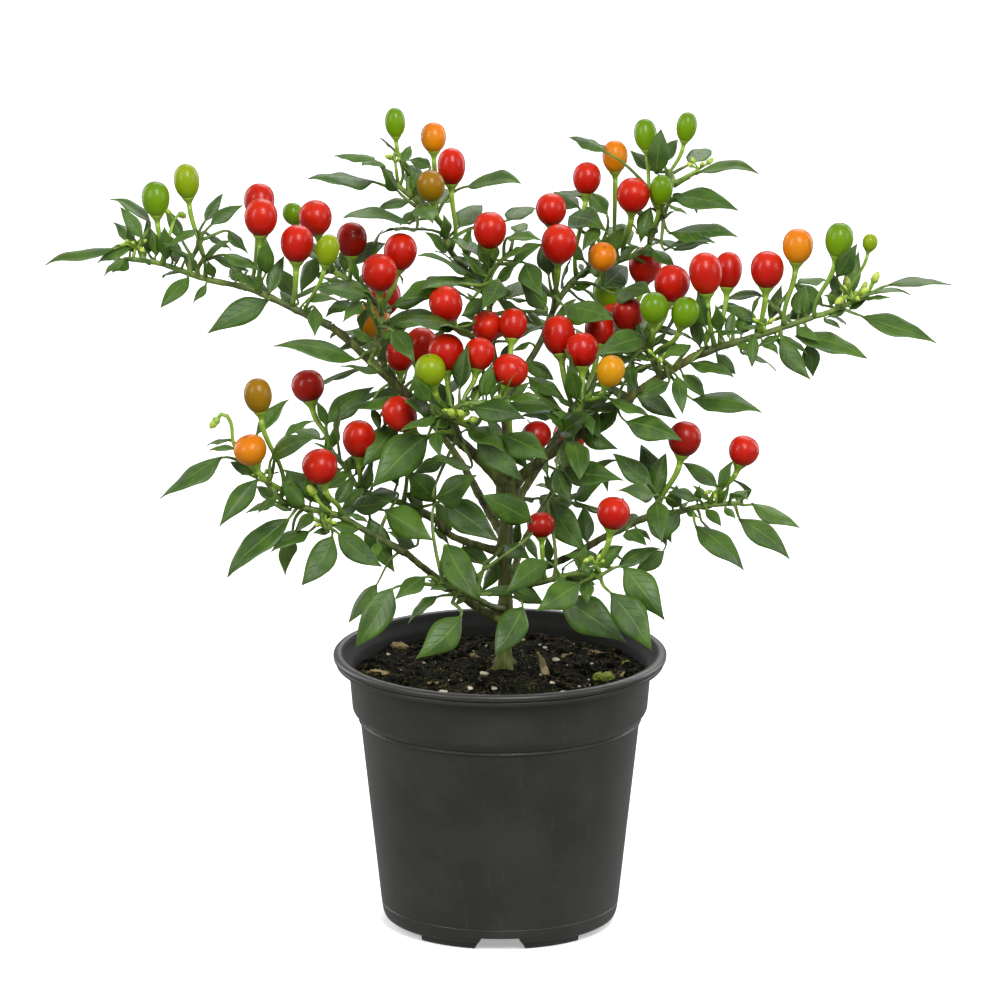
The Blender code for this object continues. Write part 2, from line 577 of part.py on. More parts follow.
def leaf_sections(root, out, base, tip, facing, front, swell=0.0):
    """A petiole's end and a folded, arched blade, thickened by swell on every side."""
    chord = tip - base
    length = chord.length
    along = chord / length
    towards = Vector((0.0, 0.0, 1.0)) * (1.0 - facing) + front * facing
    up = (towards - towards.dot(along) * along).normalized()
    side = up.cross(along)
    width = min(LEAF_WIDTH * length, LEAF_MOST_WIDTH)
    sections = []
    for share, breadth in BLADE:
        middle = base + chord * share + up * (4 * LEAF_ARCH * length * share * (1 - share))
        if swell and share == 1.0:
            middle += along * swell
        half = 0.5 * width * breadth + swell
        lift = up * (LEAF_FOLD * width * breadth)
        thick = up * (LEAF_HALF_THICKNESS + swell)
        left, right = middle - side * half + lift, middle + side * half + lift
        sections.append([right, middle + thick, left, middle - thick])
    heading = ((base - root).normalized() + out).normalized()
    petiole = ring(root + heading * 1.6, heading, PETIOLE_HALF + swell, 4, side)
    return [petiole, *sections]


def fruit_sections(root, out, centre, width, height):
    """A stalk, its cup and an egg-shaped berry, from the twig upwards."""
    stem_line = (centre - root).normalized()
    crown = (stem_line + Vector((0.0, 0.0, 0.8))).normalized()
    foot = centre - crown * (0.5 * height)
    start = Vector((1.0, 0.3, 0.0))
    first = root + out * 1.5
    climb = (foot - first).normalized()
    sections = [
        ring(root, out, STALK_RADIUS, FRUIT_SIDES, start),
        ring(first, (out + climb).normalized(), STALK_RADIUS, FRUIT_SIDES, start),
        ring(foot - crown * 1.5, crown, STALK_RADIUS, FRUIT_SIDES, start),
    ]
    for share, breadth in BERRY:
        middle = centre + crown * (share * height)
        sections.append(ring(middle, crown, 0.5 * width * breadth, FRUIT_SIDES, start))
    return sections


def spread(places, least, low, high):
    """Pushes places along a line apart until neighbours keep their distance."""
    order = sorted(range(len(places)), key=lambda k: places[k])
    least = min(least, (high - low) / max(len(places) - 1, 1))
    for _ in range(60):
        for a, b in zip(order, order[1:]):
            short = least - (places[b] - places[a])
            if short > 0:
                places[a] -= short / 2
                places[b] += short / 2
        for k in order:
            places[k] = min(max(places[k], low), high)
    return places


def make_pot():
    """Thin turned wall with a rolled rim, a foot ring broken by notches, and drainage holes."""
    floor_under = ((0.0, FLOOR_UNDER), (39.2, FLOOR_UNDER))
    profile = [*floor_under, *POT_OUTSIDE, *POT_INSIDE]
    pot = finish(turned(profile, POT_SEGMENTS), "pot", pot_look(), 30.0)
    for side in (-math.pi / 2, math.pi / 2):
        cut(pot, notch_cutter(side))
        cut(pot, gap_cutter(side + math.pi / 2))
    places = [(0.0, 0.0)]
    for hole in range(HOLES_IN_RING):
        angle = (hole + 0.5) * 2 * math.pi / HOLES_IN_RING
        places.append((HOLE_RING * math.cos(angle), HOLE_RING * math.sin(angle)))
    for x, y in places:
        bm = bmesh.new()
        bmesh.ops.create_cone(
            bm, cap_ends=True, segments=12, radius1=HOLE_RADIUS, radius2=HOLE_RADIUS, depth=8.0,
            matrix=Matrix.Translation((x, y, FLOOR_TOP - 1.0)),
        )
        cut(pot, finish(bm, "hole_cutter", pot_look()))
    return pot


def prism(outline, low, high):
    """An upright block on an outline in the ground plane, low and high being its outline's two heights."""
    bm = bmesh.new()
    base = [bm.verts.new((x, y, low)) for x, y in outline]
    face = bm.faces.new(base)
    raised = bmesh.ops.extrude_face_region(bm, geom=[face])["geom"]
    for vert in raised:
        if isinstance(vert, bmesh.types.BMVert):
            vert.co.z = high
    bmesh.ops.recalc_face_normals(bm, faces=bm.faces)
    return bm


def notch_cutter(angle):
    """A block with sloped ends that opens the foot ring on one side."""
    top, low = 0.5 * NOTCH_TOP_WIDTH, 0.5 * NOTCH_FOOT_WIDTH
    bm = prism(((36.0, -low), (50.0, -low), (50.0, low), (36.0, low)), 0.0, NOTCH_HEIGHT)
    for vert in bm.verts:
        if vert.co.z > 1.0:
            vert.co.y = math.copysign(top, vert.co.y)
        else:
            vert.co.z = -1.0
    bm.transform(Matrix.Rotation(angle, 4, "Z"))
    return finish(bm, "notch_cutter", pot_look())


def gap_cutter(angle):
    """A low wedge that takes the foot ring away between two feet."""
    steps = [-FOOT_END + 2 * FOOT_END * k / 6 for k in range(7)]
    outline = [(36.0 * math.cos(a), 36.0 * math.sin(a)) for a in steps]
    outline += [(50.0 * math.cos(a), 50.0 * math.sin(a)) for a in reversed(steps)]
    bm = prism(outline, -1.0, FOOT_HEIGHT)
    bm.transform(Matrix.Rotation(angle, 4, "Z"))
    return finish(bm, "gap_cutter", pot_look())


def pot_look():
    return material("pot_plastic", (0.018, 0.019, 0.020), 0.55)


def soil_height(radius, angle):
    """The bumpy top of the potting mix, a little lower at the wall."""
    bumps = math.sin(3 * angle + 0.13 * radius) + 0.6 * math.sin(7 * angle - 0.21 * radius + 1.0)
    return SOIL_EDGE_HEIGHT + 1.6 * math.exp(-((radius / 26.0) ** 2)) + SOIL_BUMP * 0.5 * bumps


def make_soil():
    pocket = TRUNK_FOOT_RADIUS + TRUNK_PLACE[0] + 2 * GAP
    pocket_floor = SOIL_EDGE_HEIGHT - SOIL_POCKET_DEPTH
    inside = [
        (0.0, FLOOR_TOP + GAP), (42.6, FLOOR_TOP + GAP), (44.2, FLOOR_TOP + 2.8), (53.0, 83.6),
        (56.0, 88.0),
    ]
    top = [(radius, SOIL_EDGE_HEIGHT) for radius in (57.1, 48.0, 36.0, 22.0, 11.0, pocket)]
    bm = turned([*inside, *top, (pocket, pocket_floor), (0.0, pocket_floor)], SOIL_SEGMENTS)
    for vert in bm.verts:
        radius = math.hypot(vert.co.x, vert.co.y)
        if abs(vert.co.z - SOIL_EDGE_HEIGHT) < 0.01:
            vert.co.z = soil_height(radius, math.atan2(vert.co.y, vert.co.x))
    return finish(bm, "soil", material("potting_mix", (0.020, 0.014, 0.010), 0.95), 50.0)


def tube(name, foot_radius, tip_radius, knots, look):
    """A tapered branch with closed ends."""
    path = Path(knots)
    count = max(3, round(path.length / STEM_STRETCH))
    start = Vector((0.3, 1.0, 0.1))
    sections = []
    for k in range(count + 1):
        t = path.length * k / count
        radius = foot_radius + (tip_radius - foot_radius) * (k / count) ** 0.7
        sections.append(ring(path.at(t), path.heading(t), radius, STEM_SIDES, start))
    bm = bmesh.new()
    grow(bm, start_body(bm, *sections[:2])[1], sections[2:])
    return finish(bm, name, look)


def make_stem():
    """The trunk with every branch joined to it, as the wood grew."""
    look = material("bark", (0.10, 0.11, 0.045), 0.75)
    trunk, *branches = STEM
    stem = tube("stem", *trunk[1:], look)
    for branch in branches:
        combine(stem, tube(*branch, look), "UNION")
    return stem


def skin_of_object(body):
    """A finished body's surface, back in millimetres."""
    bm = bmesh.new()
    bm.from_mesh(body.data)
    bm.transform(Matrix.Scale(1 / MM, 4))
    tree = BVHTree.FromBMesh(bm)
    bm.free()
    return tree


def twig_radius(path, t):
    return TWIG_RADIUS + (TWIG_TIP_RADIUS - TWIG_RADIUS) * t / path.length


def clear_start(path, bearers):
    """How far up the path a twig begins, so that its foot stands just off what bears it."""
    t = 0.0
    while t < 12.0:
        foot = ring(path.at(t), path.heading(t), twig_radius(path, t), 8, Vector((0.2, 1.0, 0.3)))
        gaps = []
        for bearer in bearers:
            for corner in [*foot, path.at(t)]:
                place, normal, _, distance = bearer.find_nearest(corner)
                gaps.append(math.copysign(distance, (corner - place).dot(normal)))
        if min(gaps) >= GAP:
            return t
        t += 0.1
    raise ValueError("a twig's foot never leaves the wood")


def spiral_leaves(path, count, first_turn, longest):
    """Leaves that turn by the golden angle from one to the next, up a twig."""
    leaves = []
    for k in range(count):
        t = path.length * (0.18 + 0.8 * (k + 0.5) / count)
        turn = first_turn + k * GOLDEN_ANGLE
        heading = path.heading(t)
        across = heading.cross(Vector((0.1, 0.0, 1.0))).normalized()
        out = math.cos(turn) * across + math.sin(turn) * across.cross(heading)
        way = (out + 0.45 * heading + Vector((0.0, 0.0, 0.15))).normalized()
        base = path.at(t) + way * 7.0
        length = longest * (0.86 + 0.14 * math.sin(2.1 * k))
        tip = base + (way + Vector((0.0, 0.0, -0.4))).normalized() * length
        leaves.append((*base, *tip, 0.35))
    return leaves


def back_shoot(knots, leaf_count, first_turn, fruit_rule):
    """A shoot whose leaves follow the spiral rule, with upright fruits at given shares of its twig."""
    path = Path(knots)
    fruits = []
    for k, (share, ripeness) in enumerate(fruit_rule):
        foot = path.at(share * path.length)
        lean = Vector((0.25 * math.cos(3.0 * k), 0.25 * math.sin(3.0 * k), 1.0)).normalized()
        centre = foot + lean * 20.0
        fruits.append((*centre, 13.0, 15.0, *foot, ripeness, 0))
    return Shoot(knots, spiral_leaves(path, leaf_count, first_turn, 28.0), fruits)


class Twig:
    """One shoot on its way to becoming a body: its line, and what grows at which place along it."""

    def __init__(self, name, shoot, bearers):
        self.name, self.shoot = name, shoot
        self.path = Path(shoot.path)
        self.begin = clear_start(self.path, bearers)
        self.leaves = list(shoot.leaves)
        if name in INNER_LEAVES:
            self.leaves += spiral_leaves(self.path, *INNER_LEAVES[name], 22.0)
        feet = [Vector(leaf[:3]) for leaf in self.leaves] + [Vector(fruit[5:8]) for fruit in shoot.fruits]
        places = [self.path.nearest(foot) for foot in feet]
        places = spread(places, NODE_SPACING, self.begin + 2.0, self.path.length - 1.6)
        self.leaf_places = places[: len(self.leaves)]
        self.fruit_places = places[len(self.leaves):]
        self.leaf_jobs, self.fruit_jobs = [], []
        places = [self.begin, *self.spaced(self.begin, self.path.length, 2.0), self.path.length]
        self.skin = skin(self.sections(places))

    def spaced(self, low, high, most=TWIG_STRETCH):
        count = int((high - low) / most)
        return [low + (high - low) * (k + 1) / (count + 1) for k in range(count)]

    def sections(self, places):
        start = Vector((0.2, 1.0, 0.3))
        return [ring(self.path.at(t), self.path.heading(t), twig_radius(self.path, t), TWIG_SIDES, start)
                for t in places]

    def side_towards(self, t, goal):
        """The unit step from the twig's middle out through its side, towards the goal."""
        heading = self.path.heading(t)
        way = goal - self.path.at(t)
        return (way - way.dot(heading) * heading).normalized()


def place_fruit(twig, t, fruit, space):
    """Sections of a fruit in a free place along the line of sight. None if there is no room."""
    *_, ripeness, alone = fruit
    centre, width, height = Vector(fruit[:3]), fruit[3], fruit[4]
    for step in (0, 2, -2, 4, -4, 6, -6, 9, -9, 12, -12, 15, -15):
        middle = centre + line_of_sight(step)
        out = twig.side_towards(t, middle)
        lift = twig_radius(twig.path, t) + (GAP if alone else -0.3)
        root = twig.path.at(t) + out * lift
        sections = fruit_sections(root, out, middle, width, height)
        if space.is_free(skin(sections[1:] if not alone else sections)):
            space.add(skin(fruit_sections(root, out, middle, width + 2 * GAP, height + 2 * GAP)[1:]))
            return sections
    return None


def place_leaf(twig, t, leaf, front, space):
    """Tries a leaf as planned, then nudged, until it is clear of all that stands. None if nothing fits."""
    base, tip, facing = Vector(leaf[:3]), Vector(leaf[3:6]), leaf[6]
    nudges = [(0, 0, 0)]
    ends = (3, -3, 6, -6, 10, -10, 14, -14)
    nudges += [(b, e, f) for e in ends for b in (0, 3, -3) for f in (0, 0.2, -0.2)]
    nudges += [(b, b, f) for b in ends[2:] for f in (0, 0.25, -0.25)]
    for b, e, f in nudges:
        foot, end = base + line_of_sight(b), tip + line_of_sight(e)
        out = twig.side_towards(t, foot)
        root = twig.path.at(t) + out * twig_radius(twig.path, t)
        turn = min(max(facing + f, 0.0), 1.0)
        tested = leaf_sections(root, out, foot, end, turn, front, GAP)
        heel = ring(root, out, NODE_HALF + GAP, 4, Vector((0.2, 1.0, 0.3)))
        if not space.is_free(skin([heel, *tested])) or skin(tested[1:]).overlap(twig.skin):
            continue
        sections = leaf_sections(root, out, foot, end, turn, front)
        space.add(skin(sections))
        return sections
    return None


def build_shoot(twig):
    """Extrudes the twig stretch by stretch, then its leaves and unripe fruits from their side faces."""
    jobs = sorted(twig.leaf_jobs + twig.fruit_jobs, key=lambda job: job[0])
    stops = [(twig.begin, None)]
    for k, (t, sections) in enumerate(jobs):
        before = 0.5 * (t - jobs[k - 1][0]) if k else NODE_HALF
        after = 0.5 * (jobs[k + 1][0] - t) if k + 1 < len(jobs) else NODE_HALF
        low, high = t - min(NODE_HALF, before), t + min(NODE_HALF, after)
        if low - stops[-1][0] > 0.4:
            stops += [(place, None) for place in twig.spaced(stops[-1][0], low)]
            stops.append((low, None))
        stops.append((high, sections))
    if twig.path.length - stops[-1][0] > 0.4:
        stops.append((twig.path.length, None))
    rings = twig.sections([t for t, _ in stops])
    bm = bmesh.new()
    sides, end = start_body(bm, rings[0], rings[1])
    grown = [(sides, stops[1][1])]
    for section, (_, growth) in zip(rings[2:], stops[2:]):
        sides, end = extrude_to(bm, end, section)
        grown.append((sides, growth))
    for sides, growth in grown:
        if growth:
            first = sum(growth[0], Vector()) / len(growth[0])
            face = max(
                sides, key=lambda side: (first - side.calc_center_median()).normalized().dot(side.normal)
            )
            add_corners(face, len(growth[0]))
            grow(bm, face, growth)
    return bm


def add_corners(face, count):
    """Splits a face's longest edges until it has as many corners as what grows from it."""
    while len(face.verts) < count:
        edge = max(face.edges, key=lambda e: e.calc_length())
        bmesh.utils.edge_split(edge, edge.verts[0], 0.5)


def make_plant(stem, pot, soil):
    wood = skin_of_object(stem)
    space = Space()
    for tree in (wood, skin_of_object(pot), skin_of_object(soil)):
        space.add(tree)
    shoots = dict(FRONT_SHOOTS)
    for name, rule in BACK_SHOOTS.items():
        shoots[name] = back_shoot(*rule)
    twigs = []
    for name, shoot in shoots.items():
        twigs.append(Twig(name, shoot, [wood, *(twig.skin for twig in twigs)]))
    for twig in twigs:
        if not space.is_free(twig.skin):
            print("twig meets something:", twig.name)
    lone = []
    for twig in twigs:
        others = Space()
        others.skins = space.skins + [other.skin for other in twigs if other is not twig]
        for number, (t, fruit) in enumerate(zip(twig.fruit_places, twig.shoot.fruits), 1):
            sections = place_fruit(twig, t, fruit, others)
            if sections is None:
                print("no room for a fruit:", twig.name, number)
                continue
            space.add(others.skins[-1])
            if fruit[-1]:
                lone.append((f"fruit_{twig.name}_{number}", sections, fruit[-2]))
            else:
                twig.fruit_jobs.append((t, sections[1:]))
    for twig in twigs:
        others = Space()
        others.skins = space.skins + [other.skin for other in twigs if other is not twig]
        for number, (t, leaf) in enumerate(zip(twig.leaf_places, twig.leaves), 1):
            planned = twig.name in FRONT_SHOOTS and number <= len(twig.shoot.leaves)
            front = Vector((0.0, -1.0, 0.0)) if planned else outward(leaf)
            sections = place_leaf(twig, t, leaf, front, others)
            if sections is None:
                print("no room for a leaf:", twig.name, number)
                continue
            space.add(others.skins[-1])
            twig.leaf_jobs.append((t, sections))
    for twig in twigs:
        finish(build_shoot(twig), "shoot_" + twig.name, material("leaf", (0.035, 0.12, 0.03), 0.5), 60.0)
    for name, sections, ripeness in lone:
        bm = bmesh.new()
        grow(bm, start_body(bm, *sections[:2])[1], sections[2:])
        finish(bm, name, material("fruit_" + ripeness, RIPENESS[ripeness], 0.2), 60.0)


def outward(leaf):
    """Level and away from the trunk."""
    return Vector((leaf[3] - TRUNK_PLACE[0], leaf[4] - TRUNK_PLACE[1], 0.0)).normalized()


def main():
    for old in list(bpy.data.objects):
        bpy.data.objects.remove(old)
    pot, soil, stem = make_pot(), make_soil(), make_stem()
    make_plant(stem, pot, soil)


main()
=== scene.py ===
# %% [markdown]
# # An ornamental chilli plant in its nursery pot
#
# The real thing is a young chilli bush, about a foot high, that carries some sixty upright berries on a
# forked woody stem. The imported model gives its frame: pot, potting mix, stem, leafy shoots and berries, all
# in few faces. This notebook lays the fine shapes and finishes over that frame, piece by piece, and every
# piece takes its place from the frame. The frame comes first, together with the box that it fills, since the
# young leaves drawn at the joints are kept inside that box. The frame comes first, together with the box that
# it fills, because nothing may grow past that box.

# %% The imported frame
import bisect
import math
import random
from collections import namedtuple

import bpy
import numpy as np
from mathutils import Matrix, Vector, noise
from mathutils.kdtree import KDTree


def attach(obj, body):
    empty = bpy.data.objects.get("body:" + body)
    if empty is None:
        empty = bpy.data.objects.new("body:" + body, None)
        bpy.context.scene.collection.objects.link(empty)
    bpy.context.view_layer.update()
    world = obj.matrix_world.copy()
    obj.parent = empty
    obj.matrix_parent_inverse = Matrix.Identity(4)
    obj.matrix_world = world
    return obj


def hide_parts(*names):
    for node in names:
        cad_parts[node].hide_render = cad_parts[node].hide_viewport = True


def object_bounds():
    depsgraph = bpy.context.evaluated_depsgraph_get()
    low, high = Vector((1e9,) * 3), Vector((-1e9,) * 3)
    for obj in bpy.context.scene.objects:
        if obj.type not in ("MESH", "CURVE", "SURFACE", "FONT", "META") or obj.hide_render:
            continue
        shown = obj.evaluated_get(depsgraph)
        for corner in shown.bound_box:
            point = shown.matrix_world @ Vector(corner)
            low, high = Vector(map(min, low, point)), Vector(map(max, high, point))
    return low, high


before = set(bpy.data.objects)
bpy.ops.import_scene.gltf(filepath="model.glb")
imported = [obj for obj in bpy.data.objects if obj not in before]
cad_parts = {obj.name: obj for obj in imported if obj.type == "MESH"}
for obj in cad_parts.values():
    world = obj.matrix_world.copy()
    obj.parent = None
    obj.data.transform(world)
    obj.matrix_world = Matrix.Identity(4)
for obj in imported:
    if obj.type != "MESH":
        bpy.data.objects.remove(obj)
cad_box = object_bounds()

MM = 0.001
print(len(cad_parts), "nodes in the frame, box in metres:", cad_box)

# %% [markdown]
# ## Camera and light
#
# The plant is seen from a little above the pot's rim, from far off, so that upright things stay upright.
# A long lens does that. Light in such a studio is broad and soft: one large panel above and in front makes
# the tall pale glint on each berry, one at each side softens the shadows, and three behind lift the leaves'
# edges. The floor is plain and pale. Area lights were chosen over lamps, since a berry mirrors the shape
# of what lights it.

# %% Camera
VIEW_FALL = math.radians(15.2)
# The point looked at, in millimetres, and the view's distance and width, in metres
VIEW_HEIGHT = 170.5
VIEW_DISTANCE, VIEW_WIDTH = 8.0, 0.3911
SENSOR = 36.0

camera_data = bpy.data.cameras.new("camera")
camera_data.sensor_width = SENSOR
camera_data.lens = SENSOR * VIEW_DISTANCE / VIEW_WIDTH
camera_data.clip_end = 50.0
camera = bpy.data.objects.new("camera", camera_data)
away = Vector((0.0, -math.cos(VIEW_FALL), math.sin(VIEW_FALL)))
camera.location = Vector((0.0, 0.0, VIEW_HEIGHT * MM)) + VIEW_DISTANCE * away
camera.rotation_euler = (math.pi / 2 - VIEW_FALL, 0.0, 0.0)
bpy.context.scene.collection.objects.link(camera)
bpy.context.scene.camera = camera
bpy.context.scene.view_settings.view_transform = "Standard"
print("camera", round(camera_data.lens), "mm lens,", VIEW_DISTANCE, "m away")


# %% Soft panels of light
# Each panel: place, width and height in metres, and watts. All face the plant's middle.
PANELS = {
    "key_panel": ((0.30, -1.20, 1.40), 0.5, 1.0, 28.0),
    "left_panel": ((-1.25, -0.9, 0.9), 0.35, 1.1, 12.5),
    "right_panel": ((1.5, -0.5, 0.6), 0.7, 0.9, 7.0),
    "left_rim_panel": ((-1.15, 0.85, 0.45), 0.5, 1.3, 10.0),
    "right_rim_panel": ((1.15, 0.85, 0.45), 0.5, 1.3, 10.0),
    "back_panel": ((0.3, 1.5, 1.5), 1.2, 1.2, 18.0),
}
PLANT_MIDDLE = Vector((0.0, 0.0, 0.19))
STUDIO_GLOW = 0.3625
for name, (place, width, height, watts) in PANELS.items():
    panel_data = bpy.data.lights.new(name, "AREA")
    panel_data.shape = "RECTANGLE"
    panel_data.size, panel_data.size_y = width, height
    panel_data.energy = watts
    panel = bpy.data.objects.new(name, panel_data)
    panel.location = place
    panel.rotation_euler = (Vector(place) - PLANT_MIDDLE).to_track_quat("Z", "Y").to_euler()
    bpy.context.scene.collection.objects.link(panel)
world = bpy.data.worlds.new("studio")
world.use_nodes = True
sky = world.node_tree.nodes["Background"].inputs
sky["Color"].default_value = (1.0, 1.0, 1.0, 1.0)
sky["Strength"].default_value = STUDIO_GLOW
bpy.context.scene.world = world
print(len(PANELS), "panels and a pale studio")

# %% [markdown]
# ## Small tools for modelling
#
# Each new piece starts as a primitive, is shaped in edit mode, and ends with its place inside its mesh.
# These helpers keep that tidy. The most useful is the lathe: a ring is extruded and resized again and
# again along a profile, which is how one would draw up a pot or a berry by hand.


# %% Selecting, finishing and joining
def deselect_all():
    if bpy.context.mode != "OBJECT":
        bpy.ops.object.mode_set(mode="OBJECT")
    bpy.ops.object.select_all(action="DESELECT")


def select_only(*pieces):
    """Selects these objects, the first of them active."""
    deselect_all()
    for piece in pieces:
        piece.select_set(True)
    bpy.context.view_layer.objects.active = pieces[0]


def settle(piece):
    """Puts the object's place, turn and size into its mesh."""
    select_only(piece)
    bpy.ops.object.transform_apply(location=True, rotation=True, scale=True)
    return piece


def joined(pieces, name):
    """Several objects made one."""
    select_only(*pieces)
    if len(pieces) > 1:
        bpy.ops.object.join()
    piece = bpy.context.view_layer.objects.active
    piece.name = name
    piece.data.name = name
    return piece


def copy_of(piece, name):
    """A copy with a mesh of its own."""
    twin = piece.copy()
    twin.data = piece.data.copy()
    twin.name = name
    bpy.context.scene.collection.objects.link(twin)
    return twin


def apply_modifier(piece, kind, **settings):
    """Adds a modifier with these settings and applies it."""
    select_only(piece)
    modifier = piece.modifiers.new(kind.title(), kind)
    for key, value in settings.items():
        setattr(modifier, key, value)
    bpy.ops.object.modifier_apply(modifier=modifier.name)
    return piece


def smooth(piece, degrees=180.0):
    select_only(piece)
    if degrees >= 180.0:
        bpy.ops.object.shade_smooth()
    else:
        bpy.ops.object.shade_smooth_by_angle(angle=math.radians(degrees))
    return piece


def corners(piece):
    """The mesh's corners as rows of x, y, z."""
    found = np.empty(len(piece.data.vertices) * 3)
    piece.data.vertices.foreach_get("co", found)
    return found.reshape(-1, 3)


def set_corners(piece, rows):
    piece.data.vertices.foreach_set("co", np.asarray(rows, np.float64).ravel())
    piece.data.update()


def mark(piece, name, values):
    """Stores one number for each corner, for the material to read."""
    attribute = piece.data.attributes.get(name) or piece.data.attributes.new(name, "FLOAT", "POINT")
    attribute.data.foreach_set("value", np.broadcast_to(values, len(piece.data.vertices)).astype(np.float32))


def hump(off, reach):
    """1 at no distance, falling away smoothly over a reach."""
    power = -((off / reach) ** 2)
    return np.exp(power) if isinstance(off, np.ndarray) else math.exp(power)


def search_tree(places):
    """A tree that finds the nearest of many places."""
    tree = KDTree(len(places))
    for number, place in enumerate(places):
        tree.insert(place, number)
    tree.balance()
    return tree


def edit_with(piece, kind, chosen):
    """Opens edit mode with only the chosen vertices, edges or faces selected."""
    select_only(piece)
    bpy.ops.object.mode_set(mode="EDIT")
    bpy.ops.mesh.select_mode(type=kind)
    bpy.ops.mesh.select_all(action="DESELECT")
    bpy.ops.object.mode_set(mode="OBJECT")
    for row in {"VERT": piece.data.vertices, "EDGE": piece.data.edges, "FACE": piece.data.polygons}[kind]:
        row.select = bool(chosen(row))
    bpy.ops.object.mode_set(mode="EDIT")


def leave_edit(merge=0.0):
    """Leaves edit mode with points nearer than merge made one and every face turned outwards."""
    bpy.ops.mesh.select_all(action="SELECT")
    if merge:
        bpy.ops.mesh.remove_doubles(threshold=merge)
    bpy.ops.mesh.normals_make_consistent(inside=False)
    bpy.ops.object.mode_set(mode="OBJECT")


def dress(piece, finish, slot, *nodes):
    """Gives the piece its finish, rides it on the plant, and lets it stand for the CAD nodes named."""
    if finish:
        piece.data.materials.clear()
        piece.data.materials.append(finish.material)
    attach(piece, "root")
    if nodes:
        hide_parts(*nodes)


def lathe(name, profile, segments):
    """A closed body of revolution about Z, its profile given in metres from the foot to the end."""
    deselect_all()
    (radius, height), *rest = profile
    bpy.ops.mesh.primitive_circle_add(
        vertices=segments, radius=max(radius, 1e-6), fill_type="NGON", location=(0.0, 0.0, height)
    )
    body = bpy.context.active_object
    body.name = name
    bpy.ops.object.transform_apply(location=True, rotation=False, scale=False)
    bpy.ops.object.mode_set(mode="EDIT")
    bpy.ops.mesh.select_all(action="SELECT")
    now, level = max(radius, 1e-6), height
    for radius, height in rest:
        radius = max(radius, 1e-6)
        bpy.ops.mesh.extrude_region_move(TRANSFORM_OT_translate={"value": (0.0, 0.0, height - level)})
        share = radius / now
        bpy.ops.transform.resize(value=(share, share, 1.0), center_override=(0.0, 0.0, height))
        now, level = radius, height
    leave_edit(merge=2e-6)
    return body


print("tools ready")

# %% [markdown]
# ## Shader maths as plain arithmetic
#
# A good finish is mostly arithmetic on a few patterns. Wiring Math nodes by hand hides that, so a socket is
# wrapped in a small class: adding or multiplying two wires adds the Math node that does it. Any other node
# comes from one method of the finish, which sets the node's own settings first and its sockets after.


# %% Wires and finishes
def linear(colour):
    """A colour as seen on screen, 0 to 255, made linear for the shader."""
    return tuple((c / 255.0 / 12.92) if c < 11 else ((c / 255.0 + 0.055) / 1.055) ** 2.4 for c in colour)


class Wire:
    """An output socket. Arithmetic with other wires or numbers adds Math nodes."""

    def __init__(self, finish, socket):
        self.finish, self.socket = finish, socket

    def maths(self, operation, *values):
        return self.finish.node("ShaderNodeMath", {"operation": operation}, values)

    def __add__(self, other):
        return self.maths("ADD", self, other)

    def __radd__(self, other):
        return self.maths("ADD", other, self)

    def __sub__(self, other):
        return self.maths("SUBTRACT", self, other)

    def __rsub__(self, other):
        return self.maths("SUBTRACT", other, self)

    def __mul__(self, other):
        return self.maths("MULTIPLY", self, other)

    def __rmul__(self, other):
        return self.maths("MULTIPLY", other, self)

    def __abs__(self):
        return self.maths("ABSOLUTE", self)

    def step(self, low, high):
        """0 below low, 1 above high and smooth between. With high under low it falls instead."""
        return self.finish.node(
            "ShaderNodeMapRange", {"interpolation_type": "SMOOTHSTEP"},
            {"Value": self, "From Min": low, "From Max": high},
        )


